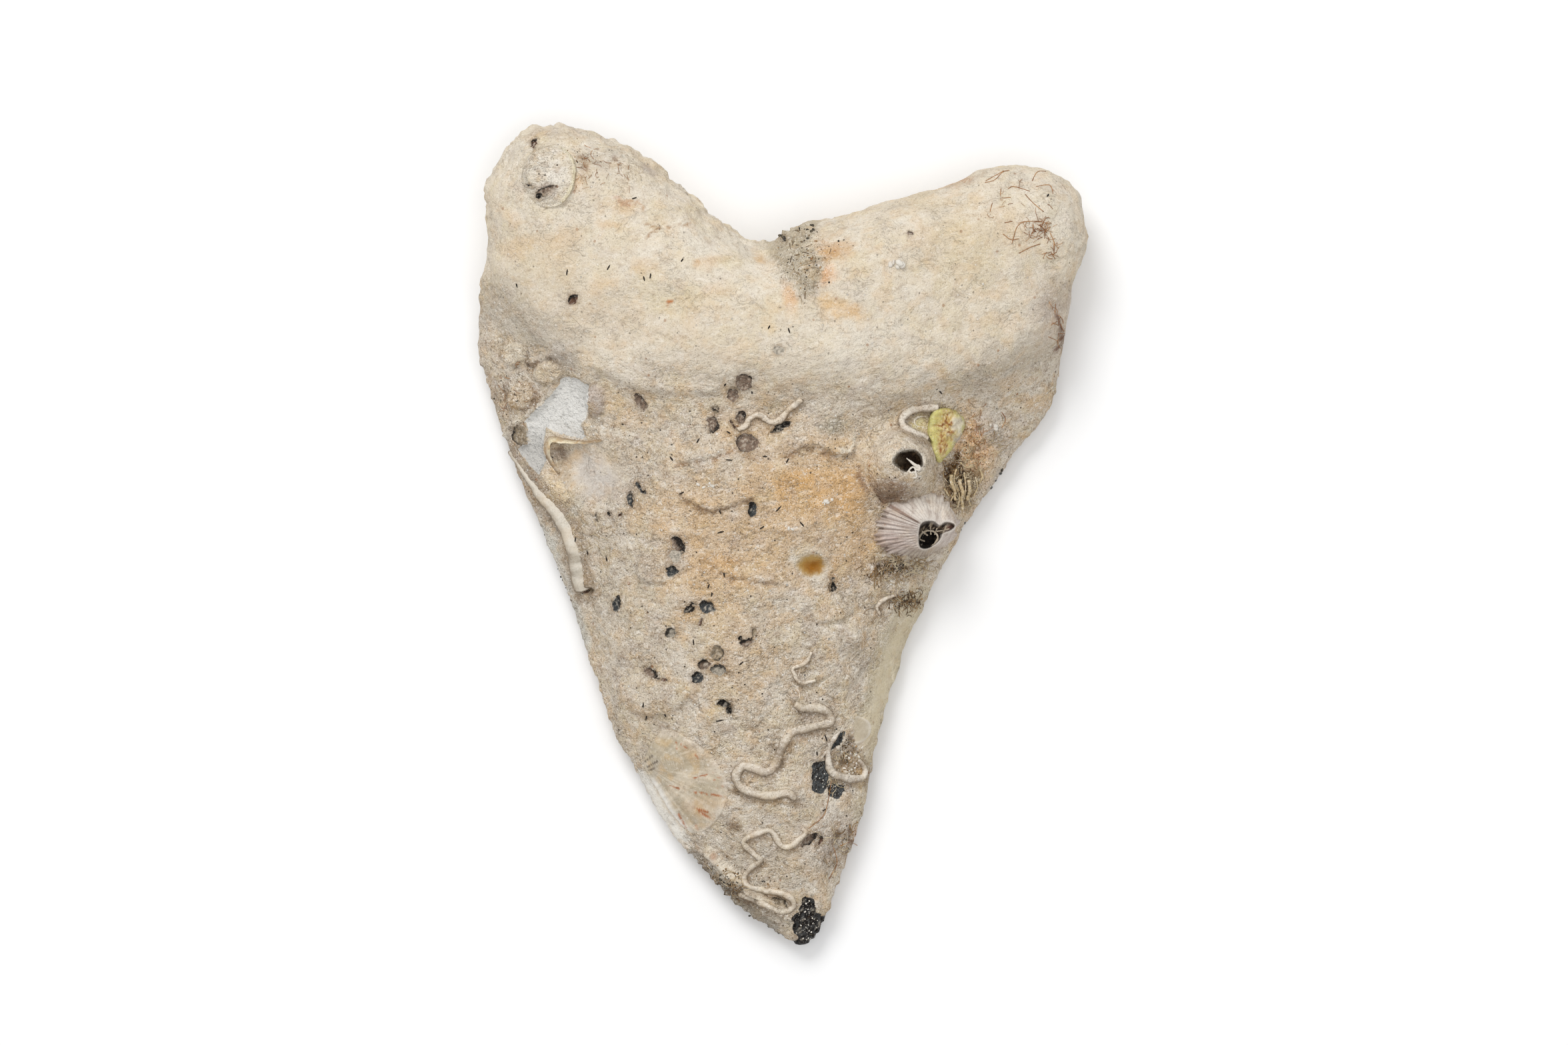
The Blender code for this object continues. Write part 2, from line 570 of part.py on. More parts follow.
def make_tuft(ground, seat):
    """Three short tubes on one low mound, joined in one skin."""
    bm = bmesh.new()
    for route in TUFT_TUBES:
        bm.from_mesh(tube_object("tuft_tube", draped_route(ground, route, 0.5, 0.8), 0.5, sides=3))
    mound = bmesh.ops.create_icosphere(bm, subdivisions=3, radius=MM)["verts"]
    middle = (22.5, 5.4)
    for vert in mound:
        x, y, z = vert.co / MM
        vert.co = Vector((middle[0] + 2.0 * x, middle[1] + 2.5 * y, ground.height(*middle) + 1.1 * z)) * MM
    tuft = put_in_scene("tube_tuft", mesh_of("tube_tuft", bm))
    join = tuft.modifiers.new("one skin", "REMESH")
    join.mode = "VOXEL"
    join.voxel_size = 0.25 * MM
    thin = tuft.modifiers.new("fewer faces", "DECIMATE")
    thin.ratio = 0.16
    clear_of(tuft, "room_round_tuft", cone_rings(ground, levels=ROOM_LEVELS, grow=0.3, **ROUND_BARNACLE))
    clear_of(tuft, "room_ribbed_tuft", cone_rings(ground, levels=ROOM_LEVELS, grow=0.5, **RIBBED_BARNACLE))
    return seated(tuft, seat)


def patch_rings(ground, outline, count, centre, levels):
    """Rings of a low growth that follows the skin: each level gives its share of the outline and its rise."""
    edge = along(np.vstack([spline(outline, closed=True), [outline[0]]]), np.linspace(0, 1, count + 1))[:-1]
    rings = []
    for share, rise in levels:
        plan = np.array(centre) + share * (edge - np.array(centre))
        rings.append([tuple(p) for p in ground.drape(plan, rise)])
    return rings


def make_patches(ground, seat):
    rings = patch_rings(
        ground, YELLOW_OUTLINE, 20, (20.9, 13.4), ((1.0, -SEAT_DEPTH), (1.0, 0.7), (0.8, 1.4), (0.4, 1.7))
    )
    yellow = put_in_scene("yellow_growth", mesh_of("yellow_growth", stack_rings(rings)))
    clear_of(yellow, "room_round_yellow", cone_rings(ground, levels=ROOM_LEVELS, grow=0.3, **ROUND_BARNACLE))
    seated(yellow, seat)
    rings = patch_rings(
        ground, FAN_OUTLINE, 26, FAN_HINGE, ((1.0, -0.9), (1.0, 0.8), (0.8, 1.05), (0.55, 1.25), (0.3, 1.3), (0.12, 1.2))
    )
    seated(put_in_scene("fan_shell", mesh_of("fan_shell", stack_rings(rings))), seat)


def make_oyster(ground, seat):
    """The standing wall of a cupped shell: a thin band along its rim."""
    path = along(spline(OYSTER_WALL), np.linspace(0.0, 1.0, 14))
    run = np.gradient(path, axis=0)
    side = np.stack([-run[:, 1], run[:, 0]], -1) / np.linalg.norm(run, axis=1)[:, None]
    tall = 1.9 * np.sin(np.linspace(0.12, 0.9, len(path)) * math.pi) ** 0.6
    rings = []
    for (x, y), (across, upward), rise in zip(path, side, tall):
        foot = ground.height(x, y)
        half = 0.34
        rings.append(
            [
                (x - across * half * 1.4, y - upward * half * 1.4, foot - SEAT_DEPTH),
                (x + across * half * 1.4, y + upward * half * 1.4, foot - SEAT_DEPTH),
                (x + across * half, y + upward * half, foot + SEAT_GAP + rise * 0.8),
                (x, y, foot + SEAT_GAP + rise),
                (x - across * half, y - upward * half, foot + SEAT_GAP + rise * 0.8),
            ]
        )
    seated(put_in_scene("oyster_cup", mesh_of("oyster_cup", stack_rings(rings))), seat)


def main():
    clear_scene()
    tooth = make_tooth()
    seat = seat_for(tooth)
    ground = Ground(seat)
    make_barnacles(ground, seat)
    make_tubes(ground, seat)
    make_tuft(ground, seat)
    make_patches(ground, seat)
    make_oyster(ground, seat)


main()
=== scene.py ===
"""The looks of a fossil shark tooth: its lime crust, its stains and borings, and what grew on it.

Metres, +Z up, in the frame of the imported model. The root lobes are towards +Y and the point towards -Y.
Places and sizes in the tables are millimetres, as in the part's own source; MM turns them to metres.
"""

import math

import bmesh
import bpy
import numpy as np
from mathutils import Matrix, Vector, noise
from mathutils.bvhtree import BVHTree


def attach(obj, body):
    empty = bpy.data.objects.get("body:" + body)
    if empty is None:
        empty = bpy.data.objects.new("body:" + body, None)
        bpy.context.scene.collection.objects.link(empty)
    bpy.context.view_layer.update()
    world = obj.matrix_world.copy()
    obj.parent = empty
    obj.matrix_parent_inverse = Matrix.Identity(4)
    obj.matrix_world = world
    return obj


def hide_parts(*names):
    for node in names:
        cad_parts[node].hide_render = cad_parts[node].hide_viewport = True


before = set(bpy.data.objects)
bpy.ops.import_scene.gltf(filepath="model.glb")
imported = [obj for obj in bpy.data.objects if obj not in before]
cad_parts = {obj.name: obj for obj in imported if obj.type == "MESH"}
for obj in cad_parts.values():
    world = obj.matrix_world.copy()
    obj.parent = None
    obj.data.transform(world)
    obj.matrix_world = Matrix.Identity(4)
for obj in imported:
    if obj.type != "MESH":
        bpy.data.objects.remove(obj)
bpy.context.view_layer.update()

MM = 0.001

# The photograph's frame: its size in pixels, its scale, and the pixel over the model's origin.
PHOTO_SIZE = (2352, 1568)
PIXELS_PER_MM = 12.0
ORIGIN_PIXEL = (1171.5, 804.5)
CAMERA_HEIGHT = 1400.0
SENSOR_WIDTH = 36.0

# Driving dimensions of the tooth, as in the part's source.
ROOT_HEIGHT = 20.0
LOBE_HEIGHT = 14.5
RIM_OF_CROWN = 2.4
RIM_OF_ROOT = 6.5
ROOT_ROLL = 10.0
BELLY_ROLL = 11.0
BORDER_SOFTNESS = 4.6
REST_SPOT = (0.0, 15.0)
REST_RADIUS = 11.0
ARCH_LIFT = 0.9
CREST_Y = (-51.0, -44.0, -34.0, -20.0, 0.0, 22.0)
CREST_HEIGHT = (4.6, 7.4, 10.0, 12.6, 15.0, 16.8)

# How fine the skin is: the first grid, the even mesh made from it, and how far the edges draw the grid.
COLUMNS = 150
ROWS = 200
EDGE_CROWDING = 0.6
SKIN_MESH = 0.67

LEFT_EDGE = (
    (1.2, -50.7), (-4.9, -46.9), (-10.0, -41.5), (-15.0, -35.5), (-19.5, -27.1),
    (-23.1, -18.8), (-25.8, -10.5), (-29.0, -2.1), (-32.4, 6.2), (-35.5, 14.5),
    (-37.9, 22.9), (-37.7, 31.2), (-36.6, 36.6), (-37.3, 42.5), (-36.6, 45.2),
)
RIGHT_EDGE = (
    (4.4, -50.4), (7.1, -44.5), (9.5, -37.5), (11.0, -31.3), (12.9, -23.0),
    (15.5, -14.6), (19.2, -6.3), (23.5, 2.0), (29.6, 10.4), (34.0, 16.6),
    (35.3, 22.9), (36.4, 30.4), (38.2, 36.2), (37.5, 42.8),
)
ROOT_EDGE = (
    (-36.6, 45.2), (-32.1, 50.5), (-27.3, 51.2), (-19.0, 48.8), (-13.7, 44.5),
    (-7.7, 39.5), (-4.2, 37.2), (-1.0, 36.6), (2.0, 38.0), (3.0, 39.5), (7.5, 40.0),
    (15.5, 42.4), (21.0, 44.0), (27.4, 46.3), (34.2, 45.5), (37.5, 42.8),
)
POINT_EDGE = ((1.2, -50.7), (2.8, -51.3), (4.4, -50.4))
BORDER_X = (-37.6, -31.0, -23.5, 0.0, 19.0, 27.4, 34.9)
BORDER_Y = (31.2, 25.4, 20.4, 18.4, 18.9, 20.8, 23.3)
LOWER_BORDER = ((-37.0, 24.0), (-24.0, 30.0), (-9.0, 31.5), (9.0, 31.5), (24.0, 31.0), (36.0, 26.0))
LOWER_STEP = 0.8

# Pits and borings: centre X and Y, half width, half height, depth, turn in degrees, colour of the floor,
# the side of the floor painted black as shade in degrees, and how far that painted shade reaches in.
EARTH = "#8b7767"
DUN = "#a4937b"
GRAVEL = "#b5ac9d"
SLATE = "#4c4f50"
BLACK = "#26221f"
RUSSET = "#6d5141"
PITS = (
    (-17.5, 16.8, 1.25, 0.55, 0.8, -57, EARTH, 90, 0.25), (-4.6, 19.1, 1.05, 1.05, 0.7, 0, EARTH, 40, 0.12),
    (-6.0, 17.6, 0.8, 0.85, 0.7, 0, EARTH, 120, 0.15), (-8.5, 13.9, 0.68, 1.0, 0.8, 0, EARTH, -40, 0.3),
    (-8.2, 15.7, 0.42, 0.38, 0.7, 0, DUN, 90, 0.7), (-4.9, 14.8, 0.74, 0.76, 1.0, 0, EARTH, 60, 0.5),
    (-6.0, 13.85, 0.7, 0.2, 0.6, -65, RUSSET, 90, 0.6), (-4.2, 11.6, 1.45, 1.15, 0.9, -10, EARTH, 150, 0.12),
    (0.0, 13.6, 1.45, 0.42, 0.9, 27, BLACK, 90, 0.4), (-0.3, 23.1, 0.6, 0.6, 0.2, 0, GRAVEL, 0, 0.0),
    (-3.6, 3.4, 0.58, 0.98, 1.1, -8, SLATE, 150, 0.55), (-12.8, -1.0, 1.2, 0.6, 0.9, -50, EARTH, 40, 0.7),
    (-13.2, -2.5, 0.7, 0.85, 0.3, 10, GRAVEL, 0, 0.0), (-13.6, -4.4, 0.8, 0.68, 0.9, -10, SLATE, 100, 0.35),
    (-20.5, -8.4, 0.52, 1.0, 0.9, -12, SLATE, 30, 0.4), (-11.5, -9.2, 0.75, 0.45, 0.8, 20, BLACK, 110, 0.4),
    (-10.8, -8.5, 0.6, 0.16, 0.4, -20, BLACK, 90, 0.5), (-9.2, -8.8, 0.98, 0.7, 0.9, -30, SLATE, 100, 0.3),
    (-10.0, -10.7, 0.6, 0.2, 0.4, 68, RUSSET, 0, 0.3), (-13.7, -12.0, 0.74, 0.6, 0.9, 0, GRAVEL, 130, 0.7),
    (-7.9, -14.6, 0.9, 0.95, 0.9, 0, DUN, -25, 0.32), (-9.5, -16.0, 0.74, 0.72, 0.9, 0, EARTH, 120, 0.4),
    (-7.8, -16.7, 0.95, 0.62, 0.7, -8, GRAVEL, 90, 0.35), (-6.5, -17.0, 0.5, 0.1, 0.3, -15, RUSSET, 90, 0.3),
    (-10.4, -17.6, 0.72, 0.64, 1.0, 20, SLATE, 160, 0.4), (-16.2, -17.1, 1.15, 0.48, 0.9, -38, EARTH, -40, 0.6),
    (-14.6, -18.0, 0.5, 0.22, 0.3, 0, RUSSET, 0, 0.3), (-7.2, -20.8, 0.85, 0.48, 1.1, -10, BLACK, 90, 0.5),
    (-6.5, -21.7, 0.42, 0.55, 1.1, 30, BLACK, 0, 0.5), (-18.8, 4.6, 0.38, 0.98, 1.0, 4, SLATE, 0, 0.3),
    (-17.7, 6.2, 0.75, 0.3, 0.8, -60, SLATE, 90, 0.3), (-17.0, 5.6, 0.28, 0.28, 0.6, 0, BLACK, 90, 0.4),
    (-21.4, 2.8, 0.3, 0.28, 0.6, 0, BLACK, 90, 0.5), (-20.1, 2.66, 0.48, 0.25, 0.6, 50, RUSSET, 90, 0.4),
    (-21.0, 1.7, 0.35, 0.12, 0.5, 85, RUSSET, 90, 0.4), (-23.0, 2.4, 0.55, 0.2, 0.4, -70, DUN, 130, 0.6),
    (6.5, -6.3, 0.42, 0.6, 1.1, -8, BLACK, 180, 0.4), (6.5, -5.4, 0.24, 0.24, 0.7, 0, BLACK, 90, 0.5),
    (3.5, -37.9, 1.35, 0.52, 0.9, 40, EARTH, 30, 0.45), (-25.85, 29.4, 0.68, 0.55, 0.8, 30, RUSSET, 110, 0.5),
    (-4.3, -13.2, 0.85, 0.5, 0.7, 12, EARTH, 120, 0.6), (-5.1, -12.7, 0.25, 0.3, 0.7, 0, BLACK, 90, 0.5),
    (-3.3, -11.9, 0.38, 0.42, 0.5, 0, DUN, 160, 0.3), (-24.3, -6.9, 0.6, 0.28, 0.7, -10, RUSSET, 90, 0.3),
    (-0.15, -45.8, 1.05, 0.48, 0.7, -30, DUN, 60, 0.35), (-32.7, 12.5, 1.0, 1.3, 0.5, 10, DUN, 190, 0.3),
    (-30.1, 42.3, 0.45, 0.42, 0.8, 0, BLACK, 90, 0.5), (-29.0, 43.2, 1.3, 0.35, 0.35, 18, EARTH, 90, 0.35),
    (-31.3, 43.6, 0.4, 0.14, 0.4, -15, BLACK, 90, 0.4), (-30.8, 49.0, 0.35, 0.8, 0.6, -10, RUSSET, 90, 0.6),
    (16.0, 37.6, 0.3, 0.22, 0.3, 0, RUSSET, 90, 0.3), (5.0, -38.0, 0.35, 0.6, 0.5, -20, RUSSET, 90, 0.4),
    (0.4, 37.1, 0.35, 0.4, 0.6, 0, BLACK, 90, 0.4), (-19.7, 13.9, 0.2, 0.15, 0.3, 0, BLACK, 90, 0.4),
)

# Swellings of the crust: centre X and Y, half width, half height, rise.
PITS += (
    (20.8, 7.7, 0.45, 1.15, 0.6, 10, "#43290f", 0, 0.0), (22.5, 7.1, 0.5, 0.4, 0.6, 0, "#1d1712", 0, 0.0),
    (21.9, 8.7, 0.9, 0.45, 0.4, -20, "#66461f", 0, 0.0), (22.0, 10.0, 0.45, 0.6, 0.3, 0, "#6d4d2a", 0, 0.0),
    (21.5, 5.2, 0.28, 1.1, 0.5, 5, "#4f3515", 0, 0.0), (23.4, 5.6, 0.28, 0.9, 0.5, -5, "#54401f", 0, 0.0),
    # Under the ribbed barnacle's hole: a near-black floor, painted shade in the hollow.
    (18.4, -0.3, 1.5, 1.3, 1.0, 0, "#120d0a", 0, 0.0),
)

LUMPS = (
    (2.0, 34.6, 3.4, 4.6, 0.9), (-23.1, 16.9, 1.3, 2.2, 0.9), (-32.8, 12.5, 1.6, 2.0, 0.7),
    (6.8, 13.6, 2.2, 1.2, 0.3), (-16.0, -19.6, 4.6, 2.8, 0.7), (8.0, -12.6, 3.0, 2.0, 0.4),
    (15.5, 8.0, 7.5, 7.0, 1.3), (16.5, 0.5, 6.5, 5.0, 0.9), (-29.0, 45.4, 5.4, 5.8, 0.7),
    (14.5, 33.9, 1.3, 0.8, 0.5), (26.5, 36.0, 6.0, 5.0, 0.5), (-20.0, 33.0, 9.0, 6.0, 0.6),
    (4.0, 4.0, 11.0, 6.0, 0.6), (-10.5, 10.5, 6.0, 4.0, 0.5), (6.0, -12.0, 6.0, 7.0, 0.5),
    (17.0, 38.5, 6.0, 3.5, 0.5), (4.5, -2.5, 1.8, 1.4, 0.5), (-19.0, -12.0, 4.0, 6.0, 0.4),
    (13.5, -1.0, 3.0, 2.5, 0.5), (-9.5, 6.5, 1.6, 1.4, 0.4), (5.6, 4.0, 1.5, 1.2, 0.4),
)

# Knobs with a crisp foot, other settlers gone under the crust: centre X and Y, half width, half height, rise, colour.
KNOBS = (
    (-33.3, 22.7, 1.6, 1.6, 0.7, "#d9ccb6"), (-29.1, 20.4, 1.7, 1.5, 0.75, "#d5c4aa"), (-32.5, 17.6, 1.6, 1.7, 0.6, "#cdb99d"),
    (-23.1, 16.9, 1.2, 2.0, 0.4, "#c3b5a9"), (-13.0, -3.3, 1.5, 1.3, 0.4, "#cbbcaa"), (8.6, -12.4, 1.2, 1.0, 0.35, "#d3c8b6"),
)
CALM_SPOTS = ((-12.0, -31.0, 9.0, 9.5), (20.9, 13.4, 4.5, 5.0))

# Places where the crust is coarser: centre X and Y, half width, half height, turn in degrees, how much.
COARSE_SPOTS = (
    (2.5, 34.0, 3.6, 4.8, 0, 0.45), (-6.8, -43.6, 7.0, 1.9, -37, 0.5), (-33.5, 17.0, 3.0, 3.5, 0, 0.3),
    (14.4, -4.0, 3.6, 1.4, -10, 0.35), (6.0, -39.0, 2.6, 3.6, 0, 0.25), (-29.0, 45.4, 5.6, 5.6, 0, 0.15),
    (23.4, 9.5, 2.6, 5.0, 10, 0.3), (-20.0, 46.2, 4.0, 2.0, -30, 0.2), (8.4, -27.6, 1.6, 2.0, 0, 0.3),
    (0.0, -20.0, 9.0, 9.0, 0, 0.1), (16.6, -8.0, 2.4, 1.2, -10, 0.3),
)

# Places where it is smooth and fine: centre X and Y, half width, half height, turn in degrees, how much.
SMOOTH_SPOTS = (
    (-5.6, -42.9, 5.5, 0.9, -40, 0.6),
    (-23.4, 8.2, 4.2, 3.6, -20, 0.55), (14.2, -16.0, 2.0, 7.5, -20, 0.7), (-15.0, -34.0, 1.6, 5.0, 35, 0.6),
    (-4.0, -47.4, 3.0, 1.2, -35, 0.3), (10.8, -24.6, 1.4, 4.0, -15, 0.5), (3.8, -3.6, 1.9, 1.6, 0, 0.8),
)

# Crisp edges of shells grown into the crust, higher on the left of their way: route, height, reach inwards.
LEDGES = (
    (((1.4, 10.4), (3.4, 11.2), (5.4, 10.9), (7.0, 10.1), (8.6, 10.5), (9.3, 12.6)), 0.9, 2.4),
    (((8.6, 10.6), (10.0, 8.8), (10.5, 7.0), (12.0, 5.0)), 0.6, 2.0),
    (((-17.6, -3.6), (-17.4, -5.0), (-15.6, -5.5), (-14.2, -5.3)), 0.4, 1.0),
    (((-12.8, 5.4), (-9.3, 3.4), (-6.0, 3.9), (-3.0, 5.4)), 0.5, 2.0),
    (((-13.2, 9.0), (-9.3, 9.7), (-6.0, 10.8)), 0.45, 1.6),
    (((-5.0, 2.4), (-1.5, 0.6), (2.5, 0.8), (5.5, 2.2)), 0.35, 2.0),
    (((-9.5, -2.6), (-6.5, -4.9), (-1.0, -5.8), (1.5, -6.6)), 0.45, 2.0),
    (((-18.4, -21.6), (-15.5, -22.4), (-12.8, -21.3), (-11.9, -19.6)), 0.3, 2.4),
    (((3.0, -9.8), (6.4, -10.6), (9.6, -8.6)), 0.4, 2.0),
    (((-2.5, -19.5), (0.5, -17.8), (3.2, -18.8)), 0.3, 1.6),
)

# Dirty creases, cracks and pale shell edges in the crust, and painted shade under ledges and ridges and painted shadow
# beside the large worm tube: route, half width, colour, strength.
CREASES = (
    (((-17.2, 39.3), (-16.0, 38.4), (-14.7, 38.3), (-10.9, 38.9)), 0.14, "#9c754d", 0.8),
    (((-14.7, 38.3), (-15.8, 37.6), (-17.5, 36.8)), 0.13, "#9c754d", 0.8),
    (((-19.8, 42.0), (-17.4, 41.0), (-17.0, 39.4)), 0.12, "#b58b62", 0.6),
    (((-21.9, 47.6), (-20.8, 47.2), (-20.2, 46.3)), 0.18, "#7a5b41", 0.8),
    (((-24.6, 44.6), (-24.2, 46.2), (-24.9, 47.6)), 0.3, "#8a6a4c", 0.75),
    (((-23.6, 46.6), (-22.6, 46.0)), 0.22, "#6d5141", 0.7), (((-20.6, 41.9), (-19.0, 41.3)), 0.3, "#b07a55", 0.6),
    (((-14.1, 28.8), (-13.6, 28.9)), 0.22, "#b5692f", 1.0), (((-12.0, 34.0), (-10.6, 33.8)), 0.4, "#caa173", 0.6),
    # Painted shade under the crisp edge of the first ledge.
    (((1.0, 10.1), (3.0, 10.8), (5.4, 10.4), (7.2, 9.6), (8.8, 9.9)), 0.4, "#8a6a4a", 0.75),
    (((7.4, 10.8), (8.4, 10.7), (9.1, 11.8), (8.9, 13.0)), 0.28, "#ddd3c0", 0.9),
    # Painted shade under the ledges' crisp edges, in this row and the six after it.
    (((-6.5, 11.0), (-3.0, 9.6), (1.0, 10.0)), 0.3, "#967450", 0.5),
    (((9.4, 8.4), (10.4, 6.4), (12.0, 4.9), (13.6, 4.6)), 0.5, "#7a5840", 0.75),
    (((-12.8, 5.2), (-9.3, 3.1), (-6.0, 3.6), (-3.4, 4.8)), 0.28, "#6d5138", 0.75),
    (((-13.2, 8.8), (-9.3, 9.4), (-6.0, 10.5)), 0.24, "#97704c", 0.7),
    (((-9.5, -2.9), (-6.5, -5.2), (-1.0, -6.1)), 0.28, "#8a6642", 0.65),
    (((-18.4, -21.9), (-15.5, -22.7), (-12.8, -21.6), (-11.7, -19.8)), 0.5, "#8f7c66", 0.4),
    (((3.0, -10.1), (6.4, -10.9), (9.6, -8.9)), 0.24, "#8d7459", 0.6),
    # Painted shade under a low ridge.
    (((-31.6, 21.4), (-30.3, 21.7), (-28.6, 22.4)), 0.26, "#6f5b48", 0.8),
    (((-34.9, 12.0), (-34.0, 13.5), (-32.8, 14.5), (-31.3, 15.4), (-29.9, 16.4), (-28.4, 18.7)), 0.26, "#e6dccb", 0.9),
    (((-31.4, 18.8), (-30.4, 17.6), (-31.0, 16.3)), 0.4, "#85694e", 0.7),
    (((-35.4, 19.6), (-34.2, 18.2), (-34.8, 16.4)), 0.3, "#7d6650", 0.6),
    (((13.9, -15.0), (14.1, -19.0), (15.0, -23.4)), 0.16, "#ded4bb", 0.7),
    (((12.8, -20.0), (14.4, -22.2), (15.2, -25.0)), 0.14, "#ded4bb", 0.6),
    (((-9.6, -38.6), (-8.4, -40.4), (-6.8, -40.0)), 0.34, "#7b5636", 0.7),
    (((8.2, -36.4), (8.8, -38.2), (8.2, -40.4)), 0.24, "#6d4f38", 0.8),
    (((9.6, -38.8), (9.2, -41.0)), 0.2, "#8f6a48", 0.7), (((7.2, -37.6), (6.2, -39.4), (6.9, -41.6)), 0.16, "#7d6148", 0.6),
    (((-9.0, -39.6), (-6.5, -42.1), (-3.8, -44.6), (-0.8, -46.6), (1.7, -47.9)), 0.9, "#ddd2bf", 0.95),
    # Painted shade along the lower side of the pale ridge above it.
    (((-10.2, -41.0), (-8.0, -43.0), (-5.4, -45.0), (-2.6, -46.9)), 0.35, "#5d4e3f", 0.7),
    # Painted shadow of the large worm tube on the crust, in this row and the next.
    (((-0.4, -28.3), (-1.2, -26.4), (-0.2, -24.8)), 0.5, "#94826c", 0.8),
    (((-6.2, -31.6), (-4.4, -32.8), (-1.4, -33.2), (1.6, -33.3)), 0.3, "#94826c", 0.7),
    (((34.6, 27.4), (35.0, 24.9), (34.3, 22.8)), 0.3, "#6a4430", 0.8),
    (((19.0, 43.6), (21.0, 44.6), (23.6, 44.4)), 0.3, "#a9744f", 0.5),
)

# Bands along the edges: edge, top and bottom Y, width, colour, strength.
EDGE_BANDS = (
    (LEFT_EDGE, 0.6, -14.0, 1.3, "#cac6bb", 0.85), (LEFT_EDGE, -30.0, -39.0, 1.7, "#e7e3da", 0.9),
    (LEFT_EDGE, -40.0, -49.6, 1.5, "#8d8578", 0.7), (RIGHT_EDGE, -9.5, -23.0, 4.2, "#c9bda2", 0.8),
    (RIGHT_EDGE, -23.0, -36.0, 1.2, "#c8bba0", 0.6),
)

# Low ridges of the crust, broken shell edges among them: route, width, rise.
RIDGES = (
    (((-17.5, -3.7), (-17.5, -4.8), (-16.5, -5.5), (-14.4, -5.3)), 0.8, 0.4),
    (((-11.7, 0.2), (-10.6, 0.5), (-9.8, 0.0), (-9.0, -1.2)), 0.6, 0.5),
    (((-31.6, 21.7), (-30.3, 22.0), (-28.6, 22.7)), 0.5, 0.35),
    (((-34.9, 12.0), (-34.0, 13.5), (-32.8, 14.5), (-31.3, 15.4), (-29.9, 16.4), (-28.4, 18.7)), 0.45, 0.6),
    (((-9.0, -39.6), (-6.5, -42.1), (-3.8, -44.6), (-0.8, -46.6), (1.7, -47.9)), 0.8, 1.1),
    (((-24.0, 21.5), (-16.0, 18.8), (-8.0, 18.4)), 1.2, 0.3),
    (((8.0, -18.0), (11.5, -14.0), (14.0, -9.0)), 1.4, 0.3),
    (((-26.0, 25.8), (-25.0, 26.2), (-23.9, 25.4)), 0.4, 0.3),
    (((7.4, 10.6), (8.4, 10.5), (9.1, 11.6), (9.0, 12.9)), 0.3, 0.25),
)

# The bare patch where the crust broke off a chalky layer, the grey matrix left in the notch, and the
# windows where the black enamel shows.
BARE_PATCH = (
    (-27.3, 20.0), (-25.6, 19.7), (-23.9, 18.8), (-24.1, 16.3), (-24.0, 15.1), (-25.0, 13.8), (-24.2, 12.0),
    (-27.1, 12.6), (-28.6, 13.2), (-29.4, 13.8), (-29.6, 12.0), (-29.8, 11.0), (-29.4, 9.6), (-29.8, 8.6),
    (-30.4, 7.5), (-31.1, 8.5), (-32.1, 9.6), (-33.0, 11.0), (-31.7, 11.5), (-31.7, 13.5), (-32.1, 14.4),
    (-30.5, 15.9), (-28.9, 17.5), (-27.7, 18.8),
)
NOTCH_MATRIX = (
    (-2.0, 37.0), (0.0, 38.6), (1.6, 39.4), (3.4, 40.0), (4.8, 39.6), (4.3, 37.5), (3.1, 36.2), (4.5, 35.0),
    (5.4, 33.7), (4.9, 32.2), (4.2, 31.0), (3.7, 29.9), (2.6, 30.2), (1.5, 31.6), (0.5, 32.9), (-0.6, 34.1),
    (-1.7, 35.4),
)
ENAMEL_PATCHES = (
    ((5.3, -27.8), (6.3, -26.1), (7.4, -24.3), (8.0, -24.5), (7.7, -25.5), (6.9, -26.3), (5.7, -27.8)),
    ((3.9, -28.2), (5.9, -28.1), (6.1, -30.2), (5.9, -31.3), (5.2, -32.1), (3.9, -31.9)),
    ((6.1, -30.8), (8.1, -31.0), (8.1, -32.0), (7.0, -32.9), (5.9, -32.4)),
    ((2.4, -45.4), (3.3, -44.9), (4.2, -45.3), (4.4, -46.1), (4.1, -47.2), (4.9, -47.4), (5.8, -47.7),
     (7.0, -46.9), (6.8, -48.6), (6.1, -50.0), (4.8, -51.4), (3.1, -52.2), (1.2, -52.0), (2.1, -50.2),
     (1.6, -48.7), (1.3, -47.6), (2.4, -47.1), (2.6, -46.1)),
)

BARE_DEPTH = 0.45
PIT_DEPTH = 0.6
ENAMEL_DEPTH = 0.35

# Scoops in the crust beside the oyster's wall and round scars: centre X and Y, half width, half height, depth.
SCOOPS = (
    (-26.4, 9.6, 2.6, 2.6, 0.9), (-23.4, 8.2, 3.2, 3.2, 0.4), (-32.8, 12.4, 1.3, 1.8, 0.6),
    (3.9, -3.4, 1.6, 1.3, 0.5), (-24.2, -6.9, 0.9, 0.5, 0.6), (8.4, -27.4, 1.4, 1.8, 0.5),
)

# How the fibres of the crust run: their turn in the plan, and how much longer than wide they are.
FIBRE_TURN = 27.0
FIBRE_STRETCH = 1.5

# The colours of the crust and its stains.
CREAM = "#d7cbb7"
PALE = "#ddd5c6"
SAND = "#cbbda9"
BEIGE = "#c9baa0"
GREY_BEIGE = "#b9ae9d"
LILAC = "#b9aca0"
OCHRE = "#d0a874"
HONEY = "#cb9d5f"
STRAW = "#d3c39b"
RUST = "#a9683c"
BROWN = "#80684d"
AMBER = "#8e5a12"
CHALK = "#dcdad5"
MATRIX = "#b5a993"
